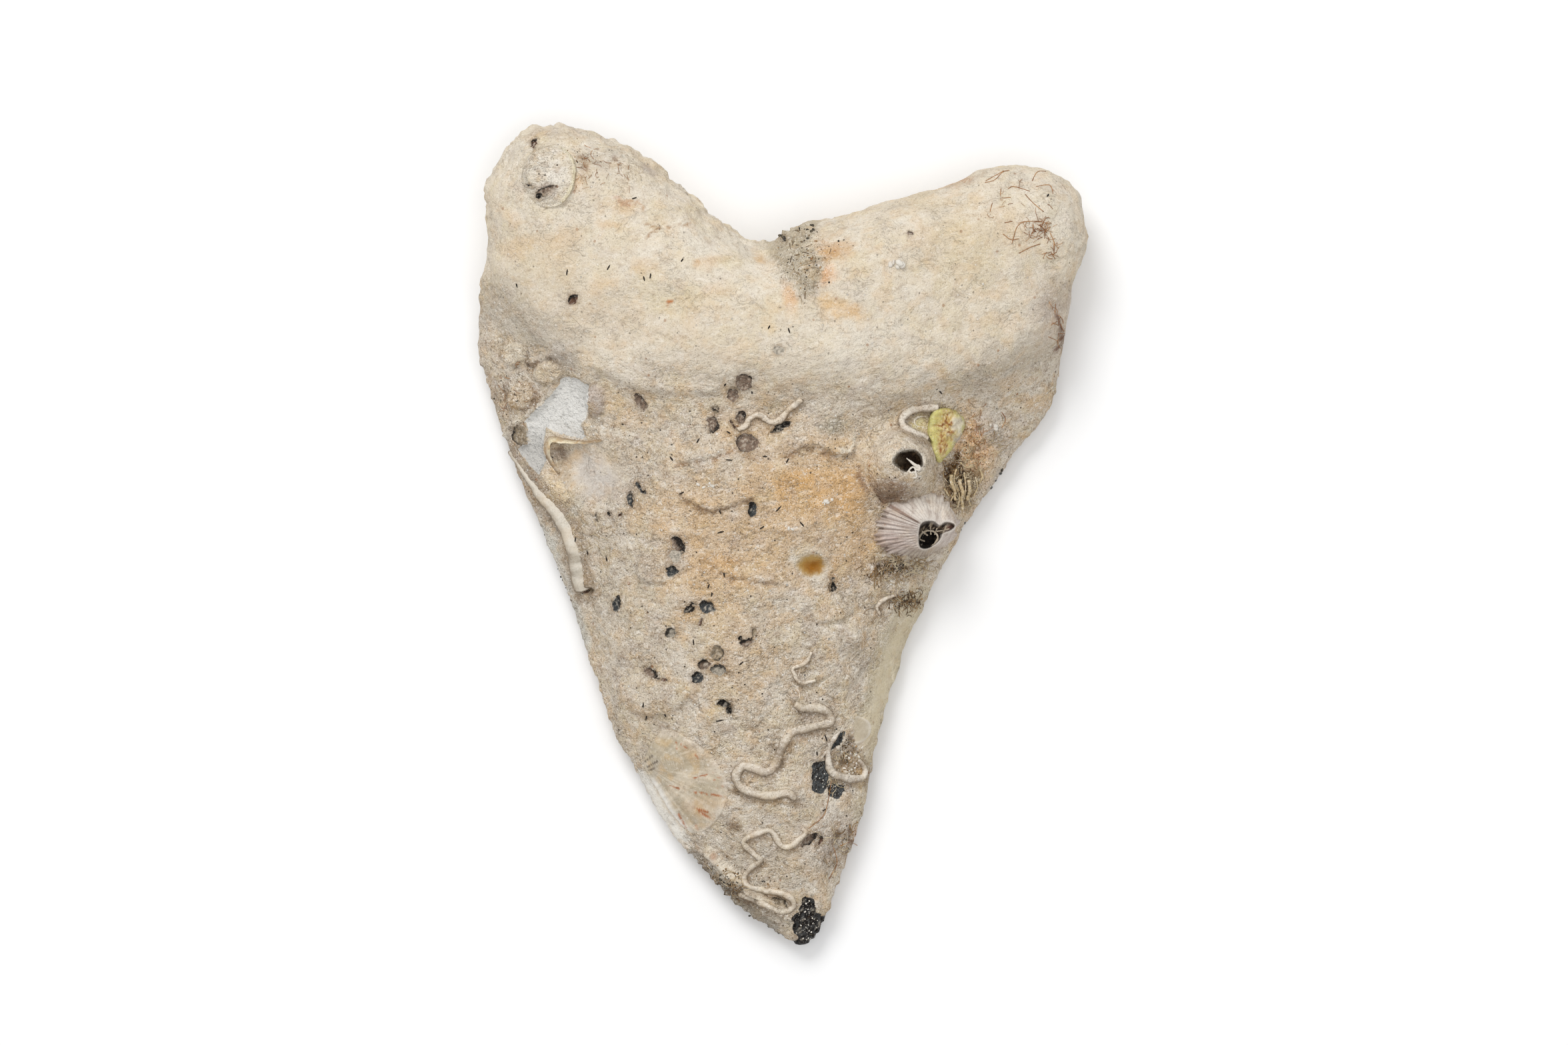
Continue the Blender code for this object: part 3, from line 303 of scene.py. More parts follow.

# Stains, and grey bands of painted shade where the root's lobes slope down to the crown: centre X and Y, half width,
# half height, turn in degrees, colour, strength.
STAINS_AND_SHADE_BANDS = (
    (15.5, 8.0, 8.0, 7.5, 0, SAND, 0.5),
    (-25.0, 42.0, 9.0, 8.0, 0, PALE, 0.4), (-8.0, 35.0, 9.0, 4.5, -15, PALE, 0.5),
    # The second entry of this row and the first of the next: painted shade where the left root lobe slopes down to the
    # crown.
    (-29.0, 34.0, 8.0, 5.0, 0, BEIGE, 0.5), (-33.0, 29.5, 6.0, 4.0, -20, GREY_BEIGE, 0.6),
    (-30.0, 25.5, 8.0, 3.8, -30, "#bdb3a3", 0.65), (-12.0, 29.5, 5.0, 2.5, 0, STRAW, 0.3),
    (22.6, 37.0, 6.5, 3.5, 10, "#cdbb9b", 0.5), (18.0, 41.5, 4.0, 2.0, 0, "#cdbb9b", 0.45),
    (23.6, 33.0, 4.4, 2.6, 0, "#cfbf9f", 0.4),
    (33.0, 39.5, 5.0, 5.0, 0, PALE, 0.5), (33.5, 28.0, 4.0, 5.0, 0, LILAC, 0.6),
    # The first entry of this row: painted shade where the right root lobe slopes down to the crown.
    (28.0, 21.5, 8.0, 3.0, 20, GREY_BEIGE, 0.6), (10.0, 24.0, 12.0, 4.0, 0, PALE, 0.3),
    (-24.0, 27.5, 7.0, 4.5, -10, SAND, 0.7), (-12.0, 24.0, 10.0, 4.0, 0, SAND, 0.35),
    (-33.0, 36.0, 2.4, 1.6, 0, OCHRE, 0.3), (-27.5, 36.5, 3.4, 2.0, 20, OCHRE, 0.25),
    (-19.4, 41.0, 2.2, 1.0, -10, OCHRE, 0.45), (-21.5, 38.8, 1.6, 0.8, 0, HONEY, 0.35),
    (-22.5, 31.0, 2.0, 1.2, 20, OCHRE, 0.2), (-17.0, 33.5, 2.6, 1.0, -15, OCHRE, 0.3),
    (-9.0, 34.0, 2.4, 1.0, 10, OCHRE, 0.4), (-7.6, 30.8, 2.6, 1.4, 0, OCHRE, 0.25),
    (4.5, 6.5, 9.5, 6.5, 10, OCHRE, 0.75), (6.5, 6.0, 5.5, 4.0, 0, OCHRE, 0.6),
    (-9.0, 3.5, 10.0, 5.5, 0, OCHRE, 0.45), (-9.5, -4.5, 7.5, 5.0, -25, OCHRE, 0.55),
    (0.0, -2.0, 10.0, 5.5, 0, OCHRE, 0.45), (10.0, -1.0, 4.0, 5.5, 0, HONEY, 0.5),
    (1.5, 6.8, 3.4, 1.8, 15, HONEY, 0.45), (8.6, 4.4, 2.0, 3.0, 0, HONEY, 0.4), (-6.8, -3.4, 3.0, 1.6, 20, HONEY, 0.4),
    (-14.6, 1.2, 2.4, 1.6, 30, HONEY, 0.4), (-12.0, -10.0, 2.4, 1.4, 0, HONEY, 0.35),
    (-4.0, 12.5, 6.0, 4.0, 0, OCHRE, 0.3), (-6.0, -14.0, 5.0, 8.0, 15, OCHRE, 0.3),
    (-28.3, 5.6, 1.2, 2.8, 35, "#e8d0a8", 0.75), (-21.6, 6.0, 2.2, 1.6, 0, LILAC, 0.6),
    (-23.2, 7.6, 3.2, 2.9, -20, "#c8c1b9", 0.85), (-27.7, 10.8, 1.3, 1.2, 0, EARTH, 0.8), (-27.2, 8.4, 0.9, 2.0, 20, DUN, 0.5), (24.2, 11.0, 2.4, 5.2, 10, "#eabe8a", 0.85),
    (24.6, 13.4, 1.0, 1.3, 0, RUST, 0.5), (26.6, 12.6, 1.6, 4.4, 35, "#cfc4b8", 0.7),
    (22.4, 6.0, 2.4, 3.0, 10, "#8d7150", 0.8), (21.1, 8.1, 1.1, 1.9, 0, "#3c2a18", 0.95),
    (22.6, 7.2, 0.9, 0.8, 0, "#2e2115", 0.95), (21.8, 5.2, 0.6, 1.6, 5, "#4f3920", 0.9),
    (23.2, 5.4, 0.55, 1.6, -5, "#4f3920", 0.9), (24.0, 7.2, 1.0, 0.8, 20, "#5f482e", 0.6), (17.1, 14.2, 1.4, 1.1, 0, "#cfc48f", 0.8),
    (6.2, 35.5, 2.8, 1.9, 5, "#c19765", 0.85), (5.8, 32.4, 1.4, 1.7, 0, "#d8a87a", 0.8),
    (7.4, 28.2, 3.8, 1.3, -22, "#d5b07c", 0.75),
    (1.3, 30.0, 1.1, 2.2, 20, "#d8ad80", 0.75), (-6.5, 34.0, 2.0, 1.2, 0, STRAW, 0.5),
    (5.6, 35.2, 1.0, 1.2, 0, HONEY, 0.4), (9.2, 28.0, 0.9, 1.0, 0, HONEY, 0.4),
    (4.0, 30.3, 1.4, 1.2, 0, LILAC, 0.7), (-23.1, 16.9, 1.4, 2.0, 0, LILAC, 0.8),
    (14.5, -15.5, 2.6, 10.0, -22, STRAW, 0.5), (11.8, -24.0, 1.6, 7.0, -18, STRAW, 0.45),
    (-21.0, -6.0, 5.0, 9.0, 15, GREY_BEIGE, 0.45), (-3.0, -39.0, 9.0, 5.0, -25, GREY_BEIGE, 0.45),
    (-7.0, -44.8, 7.0, 1.5, -37, "#94887a", 0.6), (-9.5, -41.4, 1.6, 0.8, -40, EARTH, 0.4),
    (5.5, -37.5, 4.0, 5.0, 0, LILAC, 0.5), (8.0, -38.5, 1.6, 2.4, 0, BROWN, 0.45), (9.8, -37.6, 0.7, 1.6, 0, RUST, 0.5),
    (-25.0, 44.4, 0.9, 1.6, -20, HONEY, 0.6), (-24.6, 46.6, 1.2, 1.2, -20, BROWN, 0.35),
    (3.8, -3.6, 2.7, 2.4, 0, GRAVEL, 0.6), (3.8, -3.6, 2.3, 2.0, 0, PALE, 0.8),
    (6.7, 13.6, 2.3, 1.3, 5, "#a6a08f", 0.75), (-33.3, 22.7, 1.6, 1.6, 0, "#d8cbb5", 0.8),
    (-29.2, 20.3, 1.7, 1.6, 0, "#d3c2a8", 0.8), (-32.6, 17.8, 1.7, 1.7, 0, "#cdb99d", 0.6), (-27.4, 22.6, 2.6, 1.8, 0, "#b3a89c", 0.7),
    (12.6, 11.8, 3.6, 2.6, 0, "#dccdb4", 0.5), (-6.0, -3.0, 1.2, 1.0, 0, "#b5864d", 0.4),
    (-30.0, 45.0, 4.0, 4.5, 0, PALE, 0.4), (-27.6, 0.6, 1.1, 5.5, -32, "#c6c1b5", 0.8),
    (-25.9, -5.0, 0.9, 4.0, -24, "#c0bbae", 0.7), (-33.5, 16.8, 2.6, 3.4, 0, BROWN, 0.35),
    (-36.2, 18.5, 1.0, 3.4, 10, BROWN, 0.3), (-35.6, 10.0, 0.9, 3.0, 20, EARTH, 0.4),
    (13.0, 3.0, 5.0, 1.6, -20, BROWN, 0.35),
    (13.9, -4.0, 3.4, 1.1, -10, EARTH, 0.55), (12.0, -5.0, 0.9, 0.7, 0, BROWN, 0.6),
    (16.0, -8.0, 2.6, 1.0, -10, BROWN, 0.5), (18.3, -10.0, 1.0, 1.6, 20, RUST, 0.4),
    (-17.0, 45.5, 3.0, 2.0, -30, BEIGE, 0.6), (-2.7, 34.5, 1.0, 0.8, 0, HONEY, 0.5),
    (-22.2, 46.6, 3.4, 2.8, 0, GREY_BEIGE, 0.45), (-1.8, -35.0, 4.8, 2.0, -5, GREY_BEIGE, 0.35),
    (-16.4, 45.6, 1.4, 0.8, -35, LILAC, 0.7), (-28.0, 50.2, 3.4, 1.0, 0, EARTH, 0.3),
    (35.0, 24.6, 0.7, 1.8, 0, RUSSET, 0.6), (34.0, 30.0, 2.4, 3.4, 0, EARTH, 0.25),
    (20.0, 44.0, 4.0, 0.8, 8, RUST, 0.3), (8.4, -28.0, 1.5, 1.9, 0, EARTH, 0.5), (8.6, -25.6, 0.5, 0.8, 20, "#5d4733", 0.8),
    (7.7, -28.4, 0.9, 0.6, 0, "#6b553e", 0.8), (9.2, -27.0, 0.9, 0.5, 40, "#7d6448", 0.6),
    (9.9, -29.4, 0.7, 0.6, 0, "#c79a4c", 0.95), (-8.2, -40.2, 1.0, 0.7, 0, RUST, 0.5), (-5.8, -36.2, 1.0, 0.8, 0, "#6d5236", 0.75),
    (7.0, -37.2, 0.8, 0.7, 0, "#6b533c", 0.75),
)

# Routes of the worm tubes over the skin, and their radii.
TUBES = {
    "tube_centre": (
        0.42,
        (
            (-5.4, 13.2), (-4.4, 13.7), (-4.0, 14.5), (-3.3, 15.0), (-2.5, 15.0),
            (-1.5, 14.3), (-0.6, 14.2), (0.2, 14.8), (1.0, 15.7), (2.6, 17.0),
        ),
    ),
    "tube_large": (
        0.58,
        (
            (1.7, -20.9), (2.8, -21.5), (4.2, -21.4), (5.5, -21.8), (6.1, -22.5),
            (6.0, -23.3), (3.8, -23.8), (1.8, -24.3), (0.7, -25.2), (0.0, -26.6),
            (-0.7, -28.4), (-1.8, -29.4), (-3.3, -29.0), (-4.7, -28.7), (-5.5, -29.5),
            (-5.6, -30.3), (-5.0, -31.3), (-3.5, -32.0), (-1.5, -32.4), (0.7, -32.1),
            (1.8, -32.8),
        ),
    ),
    "tube_lower": (
        0.4,
        (
            (2.6, -36.5), (3.0, -37.1), (2.1, -38.1), (1.0, -38.8), (0.0, -38.6),
            (-1.2, -36.9), (-2.1, -36.9), (-3.7, -37.5), (-4.7, -38.3), (-3.4, -39.7),
            (-2.6, -40.5), (-3.7, -41.5), (-4.5, -42.5), (-4.5, -43.4), (-3.7, -44.0),
            (-1.8, -44.4), (0.0, -44.7), (1.2, -45.3), (1.6, -46.2), (0.9, -46.9),
            (-0.2, -47.0), (-1.2, -46.5), (-3.3, -45.6), (-5.2, -44.9),
        ),
    ),
    "tube_edge": (
        1.15,
        (
            (-33.9, 10.5), (-32.3, 8.3), (-30.2, 5.5), (-27.9, 3.0), (-26.4, 0.4),
            (-25.6, -2.4), (-25.2, -4.8), (-24.8, -6.5),
        ),
    ),
    "tube_small": (
        0.28,
        ((3.8, -14.4), (3.3, -15.5), (2.5, -16.1), (1.5, -16.5), (1.7, -17.2), (2.5, -18.3), (4.3, -18.0)),
    ),
    "tube_arc": (0.3, ((14.4, -7.4), (13.0, -7.8), (12.0, -8.8), (12.4, -9.9))),
    "coiled_ring": (
        0.52,
        (
            (19.6, 16.1), (18.6, 16.0), (17.1, 15.9), (15.8, 15.4), (15.1, 14.5), (15.5, 13.4), (16.6, 12.8),
            (17.6, 12.5), (18.3, 12.2),
        ),
    ),
    "coiled_shell": (
        0.55,
        ((6.0, -25.8), (5.9, -28.1), (6.3, -29.4), (7.4, -30.1), (8.9, -30.4), (10.2, -30.2), (10.5, -29.2), (9.8, -28.0)),
    ),
}
TUBE_BRANCHES = {
    "coiled_ring": ((0.16, ((18.2, 14.9), (17.2, 14.9), (16.6, 14.4), (16.9, 13.7), (18.0, 13.5))),),
    "coiled_shell": ((0.42, ((7.7, -23.9), (6.6, -25.2), (5.6, -26.8), (4.9, -27.9))),),
    "tube_small": ((0.13, ((2.5, -16.1), (1.9, -18.6), (2.3, -19.6), (2.1, -20.9))),),
}

# The tone of a tube where it isn't the crust's, and how far it stands clear as a share of its radius.
TUBE_LOOKS = {
    "coiled_ring": ("#ece6da", 0.6), "coiled_shell": ("#e9e3d8", 0.4), "tube_edge": ("#d6d2c4", -0.2),
    "tube_centre": ("#ddd2c0", 0.3), "tube_arc": ("#ded5c5", 0.3), "tube_small": ("#dccfba", 0.3),
}
TUFT_TUBES = (
    ((21.2, 7.6), (21.5, 6.3), (21.9, 4.4)),
    ((22.4, 7.0), (22.7, 5.0), (22.6, 3.3)),
    ((23.6, 6.9), (23.4, 4.4)),
)

TUFT_STEMS = (
    ((21.9, 8.4), (21.6, 6.9), (22.3, 5.2), (22.1, 3.6)), ((22.9, 8.0), (23.1, 6.2), (22.9, 4.6)),
    ((24.3, 7.4), (24.6, 6.2), (24.1, 5.0)), ((21.1, 6.4), (21.6, 5.4), (21.2, 4.4)), ((20.4, 6.0), (21.0, 5.0)),
    ((23.9, 5.9), (23.5, 4.6), (23.8, 3.8)), ((24.9, 8.4), (25.2, 7.4), (24.8, 6.6)), ((22.4, 9.2), (23.2, 8.6), (24.0, 8.8)),
)

# The barnacles: outlines of the foot and of the torn opening, and how high the opening's rim stands.
ROUND_FOOT = (
    (10.9, 9.6), (12.0, 12.2), (14.2, 13.6), (16.6, 13.2), (18.6, 12.0), (19.7, 9.6), (19.4, 7.0),
    (18.2, 5.0), (15.6, 4.0), (12.8, 4.4), (11.2, 6.4),
)
ROUND_MOUTH = (
    (13.9, 9.3), (14.2, 10.2), (14.9, 10.6), (15.9, 10.8), (16.8, 10.7), (17.4, 10.1), (17.7, 9.4),
    (17.6, 8.7), (17.0, 8.2), (16.3, 7.9), (15.4, 8.0), (14.6, 8.5),
)
ROUND_HEIGHT = 4.0
RIBBED_FOOT = (
    (11.9, 0.6), (12.3, 2.2), (13.0, 3.5), (15.3, 4.6), (17.4, 5.2), (19.5, 5.2), (21.2, 3.9), (22.0, 2.2),
    (21.9, 0.2), (20.4, -1.4), (18.4, -2.4), (16.0, -2.6), (13.6, -2.0), (12.2, -0.9),
)
RIBBED_MOUTH = (
    (17.3, 1.4), (17.9, 1.9), (19.0, 1.9), (19.8, 1.4), (20.5, 1.8), (21.5, 1.6), (21.7, 1.1), (21.0, 0.6),
    (20.2, 0.3), (19.8, -0.5), (19.0, -1.2), (17.8, -1.6), (17.2, -1.1), (17.1, -0.2), (17.1, 0.6),
)
RIBBED_HOLE = (
    (17.4, -1.4), (17.2, -0.4), (17.6, 0.4), (18.4, 0.7), (19.2, 0.5), (19.6, -0.2), (19.1, -1.0), (18.3, -1.5),
)
RIBBED_HEIGHT = 3.6
RIBS = 56
SUTURE = 2.6
LOW_FOOT = (
    (-32.4, 44.2), (-32.2, 46.4), (-30.8, 48.2), (-28.8, 48.8), (-27.0, 48.4), (-25.7, 46.8), (-25.5, 45.0),
    (-26.0, 42.9), (-27.4, 41.2), (-29.2, 40.8), (-31.2, 41.8),
)
LOW_MIDDLE = (-28.9, 44.8)
LOW_RISE = 1.6

OYSTER_WALL = (
    (-22.4, 12.0), (-24.3, 11.8), (-26.8, 12.1), (-28.8, 12.4), (-29.5, 11.4),
    (-29.2, 9.8), (-28.4, 8.6), (-27.8, 7.8),
)
YELLOW_OUTLINE = (
    (19.5, 15.9), (20.5, 16.0), (21.8, 15.6), (22.7, 14.8), (22.9, 13.5), (22.3, 12.1), (21.3, 10.9), (20.4, 9.7),
    (19.7, 9.2), (19.2, 9.8), (18.9, 10.8), (18.6, 11.9), (18.3, 13.1), (18.4, 14.4), (18.8, 15.4),
)
YELLOW_MIDDLE = (20.8, 13.3)
FAN_OUTLINE = (
    (-17.1, -28.8), (-16.4, -26.3), (-14.4, -24.1), (-11.0, -25.6), (-8.2, -28.0),
    (-6.6, -31.3), (-7.6, -35.0), (-10.4, -37.2), (-12.9, -35.8), (-15.5, -31.8),
)
FAN_HINGE = (-16.6, -28.9)
FAN_DASHES = (
    ((-13.1, -25.6), (-13.0, -26.5)), ((-11.0, -30.3), (-8.2, -29.5)), ((-8.4, -30.4), (-7.5, -30.0)),
    ((-8.0, -31.4), (-7.2, -31.2)), ((-14.2, -31.2), (-12.1, -31.7)), ((-10.8, -32.0), (-7.2, -32.5)),
    ((-11.0, -34.0), (-7.8, -34.9)), ((-10.2, -34.5), (-8.2, -35.6)), ((-12.8, -34.8), (-11.8, -36.8)),
    ((-10.7, -36.2), (-10.2, -37.0)), ((-12.4, -26.0), (-11.7, -26.4)), ((-11.2, -26.6), (-10.2, -27.8)),
)

# Slits bored in the crust, drawn as dark studs of painted shade: centre X and Y, length, turn in degrees.
SLITS = (
    (-24.2, -2.0, 0.8, 100), (-21.8, -2.8, 0.8, 100), (-25.7, -0.4, 0.8, 80), (1.0, 25.5, 0.8, 110),
    (-1.5, 25.9, 0.7, 60), (-13.6, 9.6, 1.0, 125), (-7.6, 3.1, 0.9, 110), (-0.3, 3.4, 1.2, 45),
    (-2.3, 1.1, 1.0, 35), (-7.5, 0.5, 1.0, 15), (2.6, 1.5, 1.0, 130), (-7.1, -4.6, 1.2, 95),
    (-9.0, -6.2, 0.8, 70), (-8.6, -7.2, 0.8, 80), (-10.9, -13.2, 0.8, 95), (-16.8, -22.5, 1.3, 80),
    (-14.5, -22.3, 0.8, 120), (-4.9, -15.8, 1.0, 40), (-7.6, -23.0, 1.2, 10), (19.8, 18.0, 1.0, 130),
    (5.6, -25.2, 1.0, 110), (5.3, -34.3, 0.8, 30), (4.5, -27.1, 0.8, 100), (-6.9, 18.9, 0.8, 65),
    (-3.6, 17.9, 0.6, 90), (-6.5, 12.9, 0.7, 150), (-10.3, 11.9, 0.8, 60), (-12.3, 5.4, 1.0, 25),
    (-2.0, 9.9, 0.7, 0), (0.8, 9.4, 0.8, 60), (-6.5, 9.5, 1.0, 170), (-17.2, -21.1, 0.8, 85),
    (-21.4, 33.4, 0.9, 60), (-12.3, 34.2, 0.8, 60), (-17.0, 32.0, 0.7, 100), (-16.2, 32.3, 0.8, 80),
    (-26.6, 32.8, 0.9, 80), (-18.3, 42.0, 0.9, 20), (-32.9, 31.2, 0.7, 110), (33.2, 42.4, 0.8, 60),
)

# Serrations left free of crust: stretch of Y on each edge, and their pitch and radius.
SERRATED = (
    (RIGHT_EDGE, 8.4, -2.4, 0.8, 0.32), (LEFT_EDGE, 0.6, -8.0, 0.8, 0.14), (RIGHT_EDGE, -45.8, -49.8, 0.6, 0.2),
    (LEFT_EDGE, -45.0, -50.2, 0.65, 0.17),
)

# Brown threads of hydroids and weed on the skin.
THREADS = (
    ((28.7, 36.4), (29.6, 38.8), (31.8, 39.2), (33.5, 38.9)), ((29.6, 35.2), (31.1, 36.0), (32.3, 36.4)),
    ((33.5, 37.8), (34.0, 36.6), (34.0, 35.1)), ((25.5, 44.3), (27.1, 45.2), (27.8, 45.6)),
    ((25.4, 44.1), (26.6, 44.4), (27.6, 45.4), (28.5, 45.7)), ((31.3, 44.3), (32.0, 45.5), (33.1, 45.6)),
    ((28.3, 43.3), (29.0, 43.6), (31.0, 43.0)), ((31.8, 43.6), (33.5, 43.8), (33.9, 42.7)),
    ((30.4, 42.6), (31.4, 41.5), (32.7, 40.4)), ((27.4, 43.3), (27.4, 42.2), (28.6, 42.2)),
    ((26.0, 40.4), (26.3, 41.5)), ((27.8, 39.0), (28.8, 39.2)), ((27.6, 37.6), (28.6, 36.9), (29.6, 37.0)),
    ((27.6, 15.5), (28.1, 14.6), (27.6, 13.5)), ((6.3, -30.6), (5.8, -33.5), (5.2, -35.1), (3.5, -36.5)),
    ((6.6, -39.0), (7.0, -41.0), (6.0, -43.0)), ((7.4, -38.8), (8.6, -38.4), (9.6, -38.9)),
)


# Crumbs: centre X and Y, their spread, how many, and their half size.
CHALKY_CRUMBS = (
    (26.9, 13.7, 0.35, 0.3, 5, 0.4), (14.4, 33.9, 0.5, 0.35, 5, 0.5), (3.4, -48.4, 0.8, 1.4, 34, 0.12),
    (4.9, -30.0, 0.5, 1.1, 12, 0.09), (25.1, 31.4, 0.05, 0.05, 1, 0.35), (8.6, -28.4, 0.8, 0.9, 26, 0.2),
    (-9.2, 6.5, 0.55, 0.25, 6, 0.3), (0.9, 0.9, 0.2, 0.2, 4, 0.25), (5.6, 4.0, 0.4, 0.3, 5, 0.28),
    (7.0, -31.4, 0.6, 0.5, 12, 0.1), (-23.5, 14.0, 0.5, 0.5, 6, 0.15),
)
DARK_CRUMBS = (
    (14.0, -3.9, 1.2, 0.45, 60, 0.17), (22.0, 7.4, 0.6, 0.7, 20, 0.17), (27.7, 8.3, 0.05, 0.05, 1, 0.3),
    (15.6, -8.0, 1.0, 0.5, 30, 0.14), (7.5, 36.6, 0.3, 0.3, 3, 0.18), (8.0, -26.4, 0.6, 0.8, 24, 0.14),
    (-7.0, -43.6, 2.6, 1.1, 80, 0.13), (-34.0, 17.0, 1.2, 2.4, 20, 0.1), (2.2, 35.0, 1.5, 2.2, 34, 0.13), (3.4, 38.0, 0.3, 0.3, 8, 0.22), (0.1, 37.4, 0.3, 0.2, 6, 0.22),
    (8.6, -38.4, 0.8, 1.4, 24, 0.12), (-26.0, 47.2, 2.0, 1.4, 18, 0.1), (3.0, -50.0, 1.2, 0.6, 10, 0.12),
)
BROWN_CRUMBS = (
    (24.0, 10.4, 1.0, 2.4, 26, 0.12), (22.2, 6.6, 1.0, 1.4, 40, 0.14), (11.9, -4.9, 0.6, 0.4, 24, 0.14),
    (16.2, -8.2, 1.2, 0.7, 50, 0.14), (-7.6, -43.0, 2.6, 1.0, 70, 0.14), (8.4, -27.8, 0.8, 1.0, 40, 0.16),
    (9.6, -37.6, 0.5, 1.2, 30, 0.13), (3.0, 34.5, 1.6, 2.2, 30, 0.13), (-24.6, 46.4, 1.2, 1.6, 26, 0.1),
)


class Ground:
    """The finished crust, for setting pieces down on it."""

    def __init__(self, mesh):
        corners = [Vector(place) for place in places_of(mesh)]
        self.tree = BVHTree.FromPolygons(corners, [face.vertices for face in mesh.polygons])

    def height(self, x, y):
        hit = self.tree.ray_cast(Vector((x, y, 60.0)), Vector((0.0, 0.0, -1.0)))
        return hit[0].z if hit[0] else 0.0

    def heights(self, plan):
        return np.array([self.height(x, y) for x, y in plan])

    def drape(self, plan, lift=0.0):
        return np.column_stack([plan, self.heights(plan) + lift])

    def evened(self, route, spacing, lift=0.0, passes=3):
        """A route set down on the crust without following each grain."""
        smooth = spline(route)
        length = np.linalg.norm(np.diff(smooth, axis=0), axis=1).sum()
        path = self.drape(along(smooth, np.linspace(0.0, 1.0, max(4, round(length / spacing)))), lift)
        for _ in range(passes):
            middle = (path[:-2, 2] + 2 * path[1:-1, 2] + path[2:, 2]) / 4
            path[1:-1, 2] = np.maximum(middle, path[1:-1, 2] - 0.2)
        return path

    def plane(self, place, reach):
        """The height here, and the slopes along X and Y over this reach."""
        x, y = place
        slope_x = (self.height(x + reach, y) - self.height(x - reach, y)) / (2 * reach)
        slope_y = (self.height(x, y + reach) - self.height(x, y - reach)) / (2 * reach)
        return self.height(x, y), (slope_x, slope_y)


def strands(name, paths, radii, roundness=0):
    """Tubes along the paths as one mesh; each has its own radius, or one for each of its points."""
    curve = bpy.data.curves.new(name, "CURVE")
    curve.dimensions = "3D"
    curve.bevel_depth = MM
    curve.bevel_resolution = roundness
    curve.use_fill_caps = True
    for path, radius in zip(paths, radii):
        line = curve.splines.new("POLY")
        line.points.add(len(path) - 1)
        for point, place, size in zip(line.points, path, np.broadcast_to(radius, len(path))):
            point.co = (*(np.array(place) * MM), 1.0)
            point.radius = size
    guide = bpy.data.objects.new(name + "_guide", curve)
    mesh = bpy.data.meshes.new_from_object(guide)
    bpy.data.objects.remove(guide)
    bm = bmesh.new()
    bm.from_mesh(mesh)
    bmesh.ops.remove_doubles(bm, verts=bm.verts, dist=1e-7)
    bmesh.ops.recalc_face_normals(bm, faces=bm.faces)
    return mesh_of(name, bm)


def stack_rings(rings):
    """A closed skin over rings of equal count, from the lowest outside ring to the last, both capped."""
    bm = bmesh.new()
    order = bm.verts.layers.int.new("order")
    bmesh.ops.create_circle(bm, segments=len(rings[0]), radius=MM)
    bm.verts.ensure_lookup_table()
    for index, vert in enumerate(bm.verts):
        vert[order] = index
        vert.co = Vector(rings[0][index]) * MM
    edges = bm.edges[:]
    first = edges
    for ring in rings[1:]:
        grown = bmesh.ops.extrude_edge_only(bm, edges=edges)["geom"]
        edges = [part for part in grown if isinstance(part, bmesh.types.BMEdge)]
        for vert in (part for part in grown if isinstance(part, bmesh.types.BMVert)):
            vert.co = Vector(ring[vert[order]]) * MM
    for loop in (first, edges):
        cap = bmesh.ops.edgeloop_fill(bm, edges=loop)["faces"]
        bmesh.ops.poke(bm, faces=cap)
    bmesh.ops.recalc_face_normals(bm, faces=bm.faces)
    return bm


def turned(outline, centre, turns):
    """Points of a closed outline in these directions from its centre."""
    edge = spline(outline, closed=True) - np.array(centre)
    angle = np.arctan2(edge[:, 1], edge[:, 0])
    order = np.argsort(angle)
    reach = np.interp(turns, angle[order], np.linalg.norm(edge, axis=1)[order], period=2 * math.pi)
    return np.array(centre) + reach[:, None] * np.stack([np.cos(turns), np.sin(turns)], -1)


def roughened(mesh, strength, size, seed):
    """Pushes the surface in and out by noise."""
    places = places_of(mesh)
    put_places(mesh, places + normals_of(mesh) * (strength * rough(places, size, seed))[:, None])
    return places_of(mesh)


def linear(colour):
    """An sRGB hex value as linear RGB with full alpha."""
    parts = [int(colour[i:i + 2], 16) / 255 for i in (1, 3, 5)]
    return (*[p / 12.92 if p <= 0.04045 else ((p + 0.055) / 1.055) ** 2.4 for p in parts], 1.0)


def smooth_step(low, high, value):
    t = np.clip((value - low) / (high - low), 0.0, 1.0)
    return t * t * (3.0 - 2.0 * t)


def spline(points, closed=False, steps=10):
    """A smooth curve through the points, as an array."""
    route = np.array(points, float)
    if closed:
        route = np.vstack([route[-1], route, route[0], route[1]])
    else:
        route = np.vstack([2 * route[0] - route[1], route, 2 * route[-1] - route[-2]])
    t = np.linspace(0.0, 1.0, steps, endpoint=False)[:, None]
    pieces = []
    for a, b, c, d in zip(route, route[1:], route[2:], route[3:]):
        pieces.append(
            0.5 * (2 * b + (c - a) * t + (2 * a - 5 * b + 4 * c - d) * t**2 + (3 * b - a - 3 * c + d) * t**3)
        )
    if not closed:
        pieces.append(route[-2][None])
    return np.vstack(pieces)


def along(path, fractions):
    """Points of the path at these fractions of its length."""
    steps = np.linalg.norm(np.diff(path, axis=0), axis=1)
    reached = np.concatenate([[0.0], np.cumsum(steps)]) / steps.sum()
    return np.stack([np.interp(fractions, reached, path[:, k]) for k in range(path.shape[1])], -1)


def distance_to(path, points):
    """How far each point is from the path, in the plan."""
    start, end = path[:-1], path[1:]
    run = end - start
    length = np.maximum((run**2).sum(axis=1), 1e-9)
    nearest = np.full(len(points), np.inf)
    for a, r, size in zip(start, run, length):
        offset = points - a
        t = np.clip(offset @ r / size, 0.0, 1.0)
        nearest = np.minimum(nearest, np.linalg.norm(offset - t[:, None] * r, axis=1))
    return nearest


